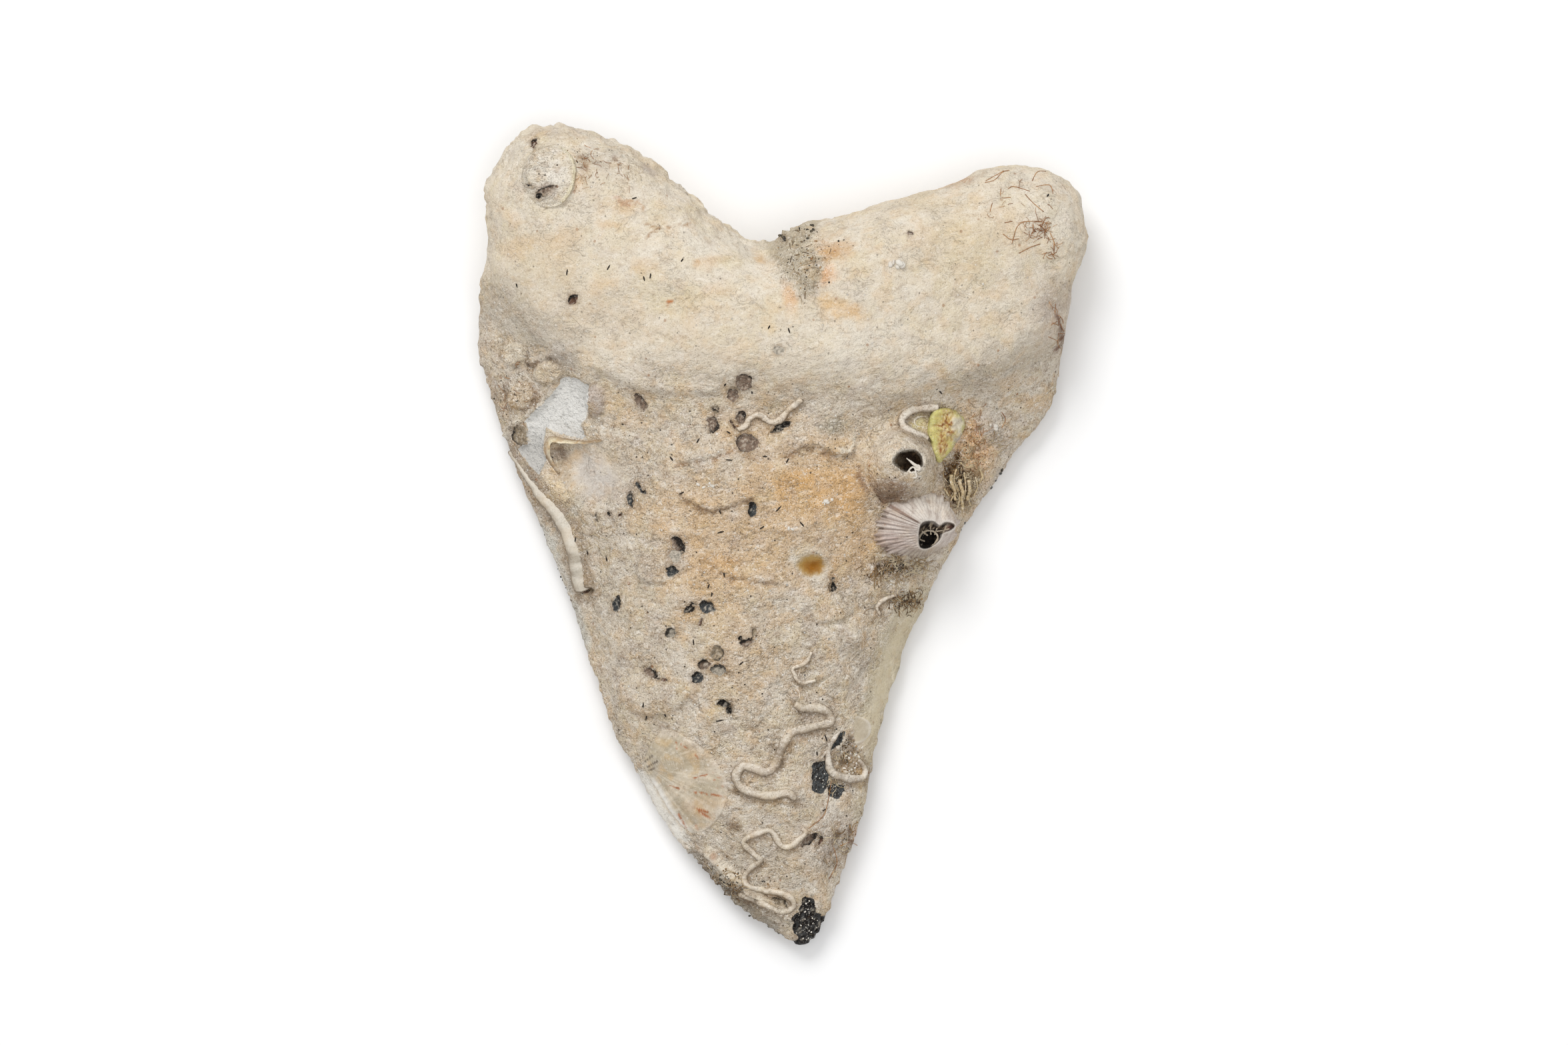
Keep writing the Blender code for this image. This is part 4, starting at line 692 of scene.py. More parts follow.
def depth_inside(outline, points):
    """How deep each point lies inside a closed outline in the plan, negative outside it."""
    edge = np.vstack([outline, outline[:1]])
    x, y = points[:, 0], points[:, 1]
    inside = np.zeros(len(points), bool)
    for (ax, ay), (bx, by) in zip(edge, edge[1:]):
        if ay == by:
            continue
        crosses = (ay > y) != (by > y)
        inside ^= crosses & (x < ax + (y - ay) * (bx - ax) / (by - ay))
    return np.where(inside, 1.0, -1.0) * distance_to(edge, points)


def reach_of(plan, x, y, half_x, half_y, turn=0.0):
    """Distance from an ellipse's centre as a share of its size: 1 on its outline."""
    c, s = math.cos(math.radians(turn)), math.sin(math.radians(turn))
    across, upward = plan[:, 0] - x, plan[:, 1] - y
    return np.hypot((across * c + upward * s) / half_x, (upward * c - across * s) / half_y)


def rough(places, scale, seed):
    """Lumpy noise between about -1 and 1 at these places."""
    return np.array([noise.noise(Vector(p)) for p in places / scale + np.array((seed, 0.0, 0.0))])


def plan_of(across, upward):
    """Places on the plan for two grid fractions, blended from the four edges."""
    left, right = along(spline(LEFT_EDGE), upward), along(spline(RIGHT_EDGE), upward)
    point, root = along(spline(POINT_EDGE), across), along(spline(ROOT_EDGE), across)
    u, v = across[:, None], upward[:, None]
    corners = (
        (1 - u) * (1 - v) * np.array(LEFT_EDGE[0])
        + u * (1 - v) * np.array(RIGHT_EDGE[0])
        + (1 - u) * v * np.array(LEFT_EDGE[-1])
        + u * v * np.array(RIGHT_EDGE[-1])
    )
    return (1 - u) * left + u * right + (1 - v) * point + v * root - corners


def half_width(y):
    left, right = spline(LEFT_EDGE), spline(RIGHT_EDGE)
    return 0.5 * (np.interp(y, right[:, 1], right[:, 0]) - np.interp(y, left[:, 1], left[:, 0]))


def round_over(distance, reach, power):
    """Rises from 0 at the rim to 1 at the reach, steep at first."""
    t = np.clip(distance / reach, 0.0, 1.0)
    return (1.0 - (1.0 - t) ** 2) ** power


def root_share(plan):
    """0 on the crown, 1 on the root, soft between them."""
    past_border = plan[:, 1] - np.interp(plan[:, 0], BORDER_X, BORDER_Y)
    return smooth_step(-BORDER_SOFTNESS, BORDER_SOFTNESS, past_border)


def form_of(plan, rim_distance):
    """Heights of the upper skin and of the underside at these places."""
    x, y = plan[:, 0], plan[:, 1]
    root = root_share(plan)
    crest = np.interp(y, CREST_Y, CREST_HEIGHT)
    root_crest = ROOT_HEIGHT - (ROOT_HEIGHT - LOBE_HEIGHT) * smooth_step(4.0, 34.0, np.abs(x))
    arch = ARCH_LIFT * smooth_step(REST_RADIUS, 48.0, np.hypot(x - REST_SPOT[0], y - REST_SPOT[1]))
    rim = RIM_OF_CROWN + (RIM_OF_ROOT - RIM_OF_CROWN) * root + arch
    crown_top = rim + (crest - rim) * round_over(rim_distance, 0.92 * half_width(y), 0.8)
    root_top = rim + (root_crest - rim) * round_over(rim_distance, ROOT_ROLL, 0.5)
    top = crown_top + (root_top - crown_top) * root
    belly = rim + (arch - rim) * round_over(rim_distance, BELLY_ROLL, 0.6)
    return top, belly


def bowl(plan, x, y, half_x, half_y):
    """1 in the middle of an ellipse, 0 outside it."""
    return 1.0 - smooth_step(0.35, 1.15, reach_of(plan, x, y, half_x, half_y))


def upper_relief(places):
    """How far the crust of the upper face stands out or is eaten away."""
    plan = places[:, :2]
    rise = 0.5 * rough(places, 8.0, 3.0) + 0.3 * rough(places, 3.6, 7.0) + 0.15 * rough(places, 1.9, 11.0)
    fibres = places @ fibre_axes()
    fine = 0.16 * rough(fibres, 1.0, 13.0) + 0.12 * rough(fibres, 0.5, 17.0)
    fine *= 1.0 - 0.35 * root_share(plan)
    for x, y, half_x, half_y, turn, amount in SMOOTH_SPOTS:
        fine *= 1.0 - amount * (1.0 - smooth_step(0.6, 1.3, reach_of(plan, x, y, half_x, half_y, turn)))
    for x, y, half_x, half_y, turn, amount in COARSE_SPOTS:
        reach = reach_of(plan, x, y, half_x, half_y, turn)
        near = reach < 1.3
        lumps = rough(places[near], 1.1, 15.0) + 0.7 * rough(places[near], 0.55, 18.0)
        fine[near] += amount * lumps * (1.0 - smooth_step(0.7, 1.3, reach[near]))
    for x, y, half_x, half_y in CALM_SPOTS:
        rise *= 1.0 - 0.8 * bowl(plan, x, y, half_x, half_y)
    for x, y, half_x, half_y, height in LUMPS:
        rise += height * bowl(plan, x, y, half_x, half_y)
    for x, y, half_x, half_y, height, _ in KNOBS:
        rise += height * smooth_step(1.12, 0.72, reach_of(ragged_plan(places), x, y, half_x, half_y))
    for route, width, height in RIDGES:
        rise += height * (1.0 - smooth_step(0.0, width, distance_to(spline(route), plan)))
    ragged = ragged_plan(places)
    for route, height, reach in LEDGES:
        rise += height * ledge(spline(route), ragged, reach)
    for x, y, half_x, half_y, depth in SCOOPS:
        rise -= depth * bowl(plan, x, y, half_x, half_y)
    bare = smooth_step(-0.1, 0.25, depth_inside(np.array(BARE_PATCH), ragged))
    rise -= BARE_DEPTH * bare
    fine *= 1.0 - 0.85 * bare
    for outline in ENAMEL_PATCHES:
        enamel = smooth_step(-0.15, 0.2, depth_inside(np.array(outline), ragged))
        rise -= ENAMEL_DEPTH * enamel
        fine *= 1.0 - 0.7 * enamel
    return rise + fine - pitted(places)


def ledge(path, plan, reach):
    """1 on the left of an open path, falling to 0 within the reach, and 0 on its right."""
    across, fraction = np.full(len(plan), 1e6), np.zeros(len(plan))
    reached = np.concatenate([[0.0], np.cumsum(np.linalg.norm(np.diff(path, axis=0), axis=1))])
    for start, end, before, after in zip(path, path[1:], reached, reached[1:]):
        run, offset = end - start, plan - start
        t = np.clip(offset @ run / (run @ run), 0.0, 1.0)
        away = np.linalg.norm(offset - t[:, None] * run, axis=1)
        side = np.where(run[0] * offset[:, 1] - run[1] * offset[:, 0] > 0, 1.0, -1.0)
        nearer = away < np.abs(across)
        across[nearer] = (side * away)[nearer]
        fraction[nearer] = ((before + t * (after - before)) / reached[-1])[nearer]
    ends = smooth_step(0.0, 0.2, fraction) * smooth_step(1.0, 0.8, fraction)
    return ends * smooth_step(-0.12, 0.12, across) * (1.0 - smooth_step(0.3, reach, np.abs(across)))


def pitted(places):
    """How deep the pits and borings are at these places."""
    ragged = ragged_plan(places)
    deep = np.zeros(len(places))
    for x, y, half_x, half_y, depth, turn, _, _, _ in PITS:
        reach = reach_of(ragged, x, y, half_x, half_y, turn)
        near = reach < 1.05
        floor = PIT_DEPTH * depth * (1.0 + 0.25 * rough(places[near], 0.45, 21.0))
        deep[near] = np.maximum(deep[near], floor * (1.0 - smooth_step(0.6, 1.02, reach[near])))
    return deep


def fibre_axes():
    """Turns places so that noise on them is drawn out along the crust's fibres."""
    c, s = math.cos(math.radians(FIBRE_TURN)), math.sin(math.radians(FIBRE_TURN))
    return np.array([[c / FIBRE_STRETCH, -s, 0.0], [s / FIBRE_STRETCH, c, 0.0], [0.0, 0.0, 1.0]])


def ragged_plan(places):
    """The plan with a fine wobble, for edges that broke unevenly."""
    wobble = 0.28 * np.stack([rough(places, 0.8, 19.0), rough(places, 0.8, 31.0)], -1)
    return places[:, :2] + wobble + 0.12 * np.stack([rough(places, 0.35, 33.0), rough(places, 0.35, 35.0)], -1)


def lower_relief(places):
    """The underside's crust and the step where its enamel begins, none of it on the rest spot."""
    away = np.hypot(places[:, 0] - REST_SPOT[0], places[:, 1] - REST_SPOT[1])
    rise = 0.5 * rough(places, 9.0, 23.0) + 0.3 * rough(places, 4.0, 29.0) + 0.1 * rough(places, 1.5, 37.0)
    enamel = distance_to(spline(LOWER_BORDER), places[:, :2])
    rise -= LOWER_STEP * (1.0 - smooth_step(0.4, 2.4, enamel))
    return rise * smooth_step(REST_RADIUS - 2.0, REST_RADIUS + 4.0, away)


def crowded(fraction):
    """Fractions pulled towards 0 and 1, where the skin turns over the rim."""
    return (1 - EDGE_CROWDING) * fraction + EDGE_CROWDING * (0.5 - 0.5 * np.cos(np.pi * fraction))


def places_of(mesh):
    """The mesh's vertices in millimetres."""
    flat = np.empty(len(mesh.vertices) * 3)
    mesh.vertices.foreach_get("co", flat)
    return flat.reshape(-1, 3) / MM


def put_places(mesh, places):
    mesh.vertices.foreach_set("co", (places * MM).ravel())
    mesh.update()


def normals_of(mesh):
    flat = np.empty(len(mesh.vertices) * 3)
    mesh.vertex_normals.foreach_get("vector", flat)
    return flat.reshape(-1, 3)


def mesh_of(name, bm):
    mesh = bpy.data.meshes.new(name)
    bm.to_mesh(mesh)
    bm.free()
    return mesh


def evaluated(obj):
    """The object's mesh with its modifiers applied."""
    graph = bpy.context.evaluated_depsgraph_get()
    return bpy.data.meshes.new_from_object(obj.evaluated_get(graph))


def smooth_body():
    """The tooth's form without its crust: two grids welded at the rim, then one even mesh."""
    bm = bmesh.new()
    rim = np.vstack([spline(LEFT_EDGE), spline(ROOT_EDGE), spline(RIGHT_EDGE)[::-1], spline(POINT_EDGE)[::-1]])
    for underside in (False, True):
        made = bmesh.ops.create_grid(bm, x_segments=COLUMNS, y_segments=ROWS, size=0.5)["verts"]
        grid = np.array([v.co[:2] for v in made]) + 0.5
        across, upward = crowded(grid[:, 0]), crowded(grid[:, 1])
        plan = plan_of(across, upward)
        inside = np.minimum.reduce([across, 1 - across, upward, 1 - upward]) > 1e-6
        top, belly = form_of(plan, distance_to(rim, plan) * inside)
        heights = belly if underside else top
        for vert, (x, y), z in zip(made, plan, heights):
            vert.co = (x * MM, y * MM, z * MM)
    bmesh.ops.remove_doubles(bm, verts=bm.verts, dist=1e-6)
    bmesh.ops.recalc_face_normals(bm, faces=bm.faces)
    rough_cast = bpy.data.objects.new("form", mesh_of("form", bm))
    bpy.context.scene.collection.objects.link(rough_cast)
    even = rough_cast.modifiers.new("even", "REMESH")
    even.mode = "VOXEL"
    even.voxel_size = SKIN_MESH * MM
    mesh = evaluated(rough_cast)
    bpy.data.objects.remove(rough_cast)
    return mesh


def detail_needed(places):
    """Where the skin holds its smallest shapes, the pits."""
    plan = places[:, :2]
    near = np.zeros(len(plan), bool)
    for x, y, half_x, half_y, _, turn, _, _, _ in PITS:
        near |= reach_of(plan, x, y, half_x + 0.1, half_y + 0.1, turn) < 1.0
    return near


def split_faces(bm, chosen):
    """Cuts each chosen face in four."""
    edges = {edge for face in chosen for edge in face.edges}
    bmesh.ops.subdivide_edges(bm, edges=list(edges), cuts=1, use_grid_fill=True)


def refined_body():
    """The smooth body with a finer upper skin, finest at the pits."""
    bm = bmesh.new()
    bm.from_mesh(smooth_body())
    bm.normal_update()
    split_faces(bm, [face for face in bm.faces if face.normal.z > 0.05])
    bmesh.ops.smooth_vert(bm, verts=bm.verts, factor=0.5, use_axis_x=True, use_axis_y=True, use_axis_z=True)
    quads = [face for face in bm.faces if face.normal.z > 0.05]
    centres = np.array([face.calc_center_median()[:] for face in quads]) / MM
    fine = detail_needed(centres)
    split_faces(bm, [face for face, wanted in zip(quads, fine) if wanted])
    return mesh_of("tooth_crust", bm)


def raise_relief(mesh):
    """Moves the skin along its normals by its relief, and returns where each vertex was."""
    smooth = places_of(mesh)
    facing = normals_of(mesh)
    upper = smooth_step(-0.3, 0.3, facing[:, 2])
    rise = np.zeros(len(smooth))
    top, bottom = upper > 0, upper < 1
    rise[top] += upper[top] * upper_relief(smooth[top])
    rise[bottom] += (1 - upper[bottom]) * lower_relief(smooth[bottom])
    rim = 1.0 - smooth_step(0.2, 0.7, np.abs(facing[:, 2]))
    rim *= 0.3 + 0.7 * root_share(smooth[:, :2]) * smooth_step(14.0, 2.0, smooth[:, 0])
    rise += rim * (0.5 * rough(smooth, 1.9, 38.0) + 0.35 * rough(smooth, 0.8, 39.0))
    moved = smooth + facing * rise[:, None]
    moved[:, 2] = np.maximum(moved[:, 2], 0.0)
    put_places(mesh, moved)
    return smooth


def blended(colours, other, share):
    """Mixes linear colours towards another one by a share for each place."""
    return colours + (np.array(linear(other)[:3]) - colours) * share[:, None]


def put_colour(mesh, name, colours):
    paint = mesh.color_attributes.new(name, "FLOAT_COLOR", "POINT")
    paint.data.foreach_set("color", np.hstack([colours, np.ones((len(colours), 1))]).ravel())


def put_value(mesh, name, values):
    mesh.attributes.new(name, "FLOAT", "POINT").data.foreach_set("value", values)


def crust_colours(places):
    """The crust's colour and grit at each vertex: cream root, sandy crown, the stains over them, and painted shade and
    shadow on the root's lower slopes, under ledges and ridges and beside the worm tubes.
    """
    plan = places[:, :2]
    broad = np.stack([rough(places, 3.5, 41.0), rough(places, 3.5, 43.0)], -1)
    small = np.stack([rough(places, 0.9, 47.0), rough(places, 0.9, 53.0)], -1)
    speck = np.stack([rough(places, 0.4, 55.0), rough(places, 0.4, 57.0)], -1)
    root = root_share(plan + 1.5 * broad)
    colours = np.tile(np.array(linear(SAND)[:3]), (len(places), 1))
    colours = blended(colours, CREAM, root)
    wash = rough(places, 3.0, 44.0) + 0.4 * small[:, 0] + 0.25 * speck[:, 0]
    film = rough(places, 2.3, 46.0) + 0.4 * small[:, 1] + 0.25 * speck[:, 1]
    colours = blended(colours, PALE, 0.45 * smooth_step(0.12, 0.4, wash))
    colours = blended(colours, STRAW, 0.24 * smooth_step(-0.1, -0.42, wash))
    colours = blended(colours, OCHRE, (0.32 - 0.12 * root) * smooth_step(0.15, 0.42, film))
    colours = blended(colours, LILAC, (0.35 - 0.2 * root) * smooth_step(-0.15, -0.42, film))
    for x, y, half_x, half_y, turn, colour, strength in STAINS_AND_SHADE_BANDS:
        size = min(half_x, half_y)
        wavy = plan + min(1.8, 0.5 * size) * broad + min(0.8, 0.4 * size) * small + min(0.3, 0.2 * size) * speck
        reach = reach_of(wavy, x, y, half_x, half_y, turn)
        colours = blended(colours, colour, strength * (1.0 - smooth_step(0.25, 1.25, reach)))
    ragged = plan + 0.25 * small + 0.2 * speck
    for edge, top, bottom, width, colour, strength in EDGE_BANDS:
        path = spline(edge)
        away = distance_to(path[(path[:, 1] < top) & (path[:, 1] > bottom)], ragged)
        colours = blended(colours, colour, strength * smooth_step(width, 0.6 * width, away))
    broken = smooth_step(-0.35, 0.05, rough(places, 1.3, 58.0))
    for route, width, colour, strength in CREASES:
        away = distance_to(spline(route), plan + 0.5 * small + 0.3 * speck)
        colours = blended(colours, colour, strength * broken * smooth_step(1.7 * width, 0.3 * width, away))
    drop = plan + 0.4 * small + 0.15 * speck
    colours = blended(colours, "#b08e4c", 0.95 * smooth_step(1.15, 0.75, reach_of(drop, 3.8, -3.6, 1.75, 1.45)))
    colours = blended(colours, AMBER, 0.95 * smooth_step(1.2, 0.3, reach_of(drop, 3.9, -3.8, 1.5, 1.1)))
    for x, y, half_x, half_y, _, colour in KNOBS:
        reach = reach_of(ragged, x, y, half_x, half_y)
        colours = blended(colours, BROWN, 0.55 * smooth_step(1.3, 1.05, reach) * smooth_step(-0.2, 0.3, rough(places, 1.4, 63.0)))
        colours = blended(colours, colour, 0.8 * smooth_step(1.05, 0.85, reach))
    matrix = depth_inside(spline(NOTCH_MATRIX, closed=True, steps=5), plan + 0.5 * small + 0.25 * speck)
    colours = blended(colours, MATRIX, 0.85 * smooth_step(-0.3, 0.3, matrix))
    for x, y, half_x, half_y, _, turn, _, _, _ in PITS:
        reach = reach_of(plan + 0.2 * speck, x, y, half_x + 0.25, half_y + 0.25, turn)
        colours = blended(colours, BROWN, 0.45 * smooth_step(1.3, 0.8, reach))
    # Painted shadow of each worm tube on the crust, offset to its lower right, away from the lamp.
    for radius, route in TUBES.values():
        tube_shadow_gap = distance_to(spline(route) + np.array((0.2, -0.45)), plan + 0.2 * speck)
        colours = blended(colours, BROWN, 0.5 * smooth_step(2.0 * radius, 0.9 * radius, tube_shadow_gap))
    lower = places[:, 2] < 0.6 * RIM_OF_CROWN
    colours = blended(colours, GREY_BEIGE, 0.3 * lower)
    grit = 1.0 - 0.5 * root
    for x, y, half_x, half_y, turn, amount in COARSE_SPOTS:
        grit += amount * (1.0 - smooth_step(0.6, 1.3, reach_of(plan, x, y, half_x, half_y, turn)))
    for x, y, half_x, half_y, turn, amount in SMOOTH_SPOTS:
        grit *= 1.0 - amount * (1.0 - smooth_step(0.6, 1.3, reach_of(plan, x, y, half_x, half_y, turn)))
    return colours, grit


def put_finish(mesh, tint, grit):
    """Paints a piece's tint, and how coarse its grain is: one value, or one for each vertex."""
    put_colour(mesh, "tint", tint)
    put_value(mesh, "grit", np.full(len(tint), 1.0) * grit)


def plain(colour, count):
    """One colour for this many vertices."""
    return np.tile(np.array(linear(colour)[:3]), (count, 1))


def paint_wear(mesh, places):
    """Where the crust gives way, and what shows there: wear is 0.5 on an outline and 1 half a millimetre inside."""
    ragged = ragged_plan(places)
    crumbly = rough(places, 0.3, 59.0)
    wear = depth_inside(np.array(BARE_PATCH), ragged)
    under = np.tile(np.array(linear(CHALK)[:3]), (len(places), 1))
    under = blended(under, "#bdbab4", 0.8 * smooth_step(14.5, 11.0, places[:, 1]))
    gloss = np.full(len(places), -1.0)
    tear = np.where(places[:, 1] < -44.0, 0.6, 0.15)[:, None]
    torn = ragged + tear * np.stack([rough(places, 0.9, 64.0), rough(places, 0.9, 66.0)], -1)
    for outline in ENAMEL_PATCHES:
        inside = depth_inside(np.array(outline), torn)
        enamel = blended(np.tile(np.array(linear(SLATE)[:3]), (len(places), 1)), BLACK, smooth_step(-0.2, 0.3, crumbly) + 0.6 * (places[:, 1] < -44.0))
        enamel = blended(enamel, GRAVEL, 0.7 * smooth_step(0.48, 0.64, rough(places, 0.5, 60.0)))
        chosen = (inside > wear) & (inside > -0.4)
        under[chosen] = enamel[chosen]
        gloss = np.maximum(gloss, inside)
        wear = np.maximum(wear, inside)
    for x, y, half_x, half_y, depth, turn, floor, side, black in PITS:
        reach = reach_of(ragged, x, y, half_x, half_y, turn)
        inside = (1.0 - reach) * min(half_x, half_y)
        chosen = (inside > wear) & (reach < 1.5)
        # Painted shade: the pit's floor turns black on its given side, as far in as the table says.
        angle = math.radians(side)
        shade_shift = black * np.array((math.cos(angle), math.sin(angle))) * np.array((half_x, half_y))
        shade_reach = reach_of(ragged[chosen] + shade_shift, x, y, half_x, half_y, turn)
        colour = np.tile(np.array(linear(floor)[:3]), (chosen.sum(), 1))
        grains = crumbly[chosen]
        colour = blended(colour, "#cfc4b4", 0.65 * smooth_step(0.1, 0.4, grains))
        colour = blended(colour, BLACK, 0.5 * smooth_step(-0.15, -0.4, grains))
        colour = blended(colour, BLACK, (0.95 * (black > 0)) * smooth_step(0.85, 1.1, shade_reach + 0.25 * grains))
        under[chosen] = colour
        wear = np.maximum(wear, np.where(reach < 1.5, inside, -1.0))
    lower = places[:, 2] < 1.0
    wear[lower] = -1.0
    put_colour(mesh, "under", under)
    put_value(mesh, "wear", np.clip(0.5 + wear, 0.0, 1.0))
    put_value(mesh, "gloss", np.clip(0.5 + gloss, 0.0, 1.0))


def put_in_scene(name, mesh, material, slot, *nodes):
    """A finished piece at the origin, riding on the tooth's body, in place of these CAD nodes."""
    obj = bpy.data.objects.new(name, mesh)
    bpy.context.scene.collection.objects.link(obj)
    mesh.materials.clear()
    mesh.materials.append(material)
    mesh.shade_smooth()
    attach(obj, "root")
    if nodes:
        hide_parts(*nodes)
    return obj


def add(tree, kind, inputs=None, output=0, **settings):
    """Adds a node with its settings and returns one output; an input takes a value or another node's output."""
    made = tree.nodes.new(kind)
    for name, value in settings.items():
        setattr(made, name, value)
    for key, value in (inputs or {}).items():
        if isinstance(value, bpy.types.NodeSocket):
            tree.links.new(value, made.inputs[key])
        else:
            made.inputs[key].default_value = value
    return made.outputs[output]


def new_material(name, roughness, specular=0.3):
    """A material with its shader, and places on the object in millimetres."""
    material = bpy.data.materials.new(name)
    material.use_nodes = True
    tree = material.node_tree
    shader = tree.nodes["Principled BSDF"]
    shader.inputs["Roughness"].default_value = roughness
    shader.inputs["Specular IOR Level"].default_value = specular
    coords = add(tree, "ShaderNodeTexCoord", output="Object")
    place = add(tree, "ShaderNodeMapping", {"Vector": coords, "Scale": (1 / MM,) * 3})
    return material, tree, shader, place


def where(tree, pattern, low, high, most=1.0):
    """A mask that is 0 until the pattern reaches low and its most past high; low may be above high."""
    ramp = {"Value": pattern, "From Min": low, "From Max": high, "To Min": 0.0, "To Max": 1.0}
    mask = add(tree, "ShaderNodeMapRange", ramp, interpolation_type="SMOOTHSTEP")
    return add(tree, "ShaderNodeMath", {0: mask, 1: most}, operation="MULTIPLY")


def stained(tree, colour, stain, mask):
    """The colour with a stain, given in sRGB or as a socket, over it where the mask is high."""
    stain = linear(stain) if isinstance(stain, str) else stain
    return add(tree, "ShaderNodeMix", {0: mask, 6: colour, 7: stain}, output=2, data_type="RGBA")


def heaped(tree, *layers):
    """The sum of patterns, each with its share."""
    total = 0.0
    for pattern, share in layers:
        total = add(tree, "ShaderNodeMath", {0: pattern, 1: share, 2: total}, operation="MULTIPLY_ADD")
    return total


def finished(tree, shader, colour, height, relief):
    """Gives the shader its colour, and bumps of this relief in millimetres."""
    tree.links.new(colour, shader.inputs["Base Color"])
    bump = add(tree, "ShaderNodeBump", {"Height": height, "Strength": 1.0, "Distance": relief * MM})
    tree.links.new(bump, shader.inputs["Normal"])


def weathered(tree, place, tint, strength=1.0):
    """The tint with the crust's mottling, grain, pores and hairline cracks, the height of its grain, and two grains.

    The grain is as coarse as the piece's own grit says, times the strength.
    """
    grit = add(tree, "ShaderNodeAttribute", output="Fac", attribute_name="grit")
    grit = add(tree, "ShaderNodeMath", {0: grit, 1: strength}, operation="MULTIPLY")
    fibres = add(tree, "ShaderNodeMapping", {
        "Vector": place, "Rotation": (0.0, 0.0, -math.radians(FIBRE_TURN)), "Scale": (1 / FIBRE_STRETCH, 1.0, 1.0),
    })
    noise_at = "ShaderNodeTexNoise"
    patches = add(tree, noise_at, {"Vector": place, "Scale": 1 / 3.6, "Detail": 4.0})
    hues = add(tree, noise_at, {"Vector": place, "Scale": 1 / 2.2, "Detail": 3.0}, "Color")
    hues = add(tree, "ShaderNodeSeparateColor", {"Color": hues}).node.outputs
    clots = add(tree, noise_at, {"Vector": fibres, "Scale": 1 / 0.9, "Detail": 4.0, "Distortion": 0.5})
    grain = add(tree, noise_at, {"Vector": fibres, "Scale": 1 / 0.36, "Detail": 2.0, "Distortion": 0.6})
    dust = add(tree, noise_at, {"Vector": place, "Scale": 1 / 0.17, "Detail": 1.0})
    swirls = add(tree, noise_at, {"Vector": fibres, "Scale": 1 / 1.3, "Detail": 3.0, "Distortion": 1.2})
    off_line = add(tree, "ShaderNodeMath", {0: swirls, 1: 0.5, 2: 0.012}, operation="COMPARE")
    crack = add(tree, "ShaderNodeMath", {0: off_line, 1: where(tree, patches, 0.5, 0.58)}, operation="MULTIPLY")
    cell = add(tree, "ShaderNodeTexVoronoi", {"Vector": place, "Scale": 1 / 0.75}).node.outputs
    chance = add(tree, "ShaderNodeSeparateColor", {"Color": cell["Color"]}).node.outputs
    pore = add(tree, "ShaderNodeMath", {
        0: where(tree, cell["Distance"], 0.17, 0.1), 1: where(tree, chance["Red"], 0.84, 0.88),
    }, operation="MULTIPLY")
    chip = add(tree, "ShaderNodeMath", {
        0: where(tree, cell["Distance"], 0.22, 0.14), 1: where(tree, chance["Green"], 0.9, 0.93),
    }, operation="MULTIPLY")
    flecks = add(tree, "ShaderNodeTexVoronoi", {"Vector": place, "Scale": 1 / 2.3}).node.outputs
    few = add(tree, "ShaderNodeSeparateColor", {"Color": flecks["Color"]}).node.outputs
    fleck = add(tree, "ShaderNodeMath", {
        0: where(tree, flecks["Distance"], 0.12, 0.06), 1: where(tree, few["Red"], 0.6, 0.64),
    }, operation="MULTIPLY")
    light = where(tree, add(tree, "ShaderNodeRGBToBW", {"Color": tint}), 0.06, 0.4)
    washes = (
        ("#a3917a", where(tree, patches, 0.52, 0.72, 0.26)), ("#ece4d8", where(tree, patches, 0.46, 0.26, 0.3)),
        ("#caa46f", where(tree, hues["Red"], 0.54, 0.68, 0.32)), ("#b8a9a2", where(tree, hues["Green"], 0.54, 0.7, 0.25)),
        ("#d4c094", where(tree, hues["Blue"], 0.54, 0.7, 0.25)), ("#95653c", fleck),
    )
    marks = (
        ("#997e60", where(tree, clots, 0.53, 0.7, 0.42)), ("#f1eadf", where(tree, clots, 0.45, 0.27, 0.4)),
        ("#745d44", where(tree, grain, 0.56, 0.72, 0.45)), ("#f6f0e6", where(tree, grain, 0.44, 0.28, 0.42)),
        ("#5f4b37", where(tree, dust, 0.6, 0.72, 0.65)), ("#fbf6ee", where(tree, dust, 0.4, 0.28, 0.5)),
        ("#4f4134", add(tree, "ShaderNodeMath", {0: crack, 1: 0.38}, operation="MULTIPLY")),
        ("#41362c", add(tree, "ShaderNodeMath", {0: pore, 1: 0.9}, operation="MULTIPLY")),
        ("#f4efe6", add(tree, "ShaderNodeMath", {0: chip, 1: 0.7}, operation="MULTIPLY")),
    )
    colour = tint
    for stain, mask in washes:
        mask = add(tree, "ShaderNodeMath", {0: mask, 1: light}, operation="MULTIPLY")
        share = add(tree, "ShaderNodeMath", {0: grit, 1: 0.6, 2: 0.25 * strength}, operation="MULTIPLY_ADD")
        colour = stained(tree, colour, stain, add(tree, "ShaderNodeMath", {0: mask, 1: share}, operation="MULTIPLY"))
    for stain, mask in marks:
        if stain > "#e":
            mask = add(tree, "ShaderNodeMath", {0: mask, 1: light}, operation="MULTIPLY")
        colour = stained(tree, colour, stain, add(tree, "ShaderNodeMath", {0: mask, 1: grit}, operation="MULTIPLY"))
    height = heaped(tree, (clots, 0.5), (grain, 0.34), (dust, 0.16), (pore, -0.2), (crack, -0.1), (chip, 0.12))
    return colour, add(tree, "ShaderNodeMath", {0: height, 1: grit}, operation="MULTIPLY"), grain, dust


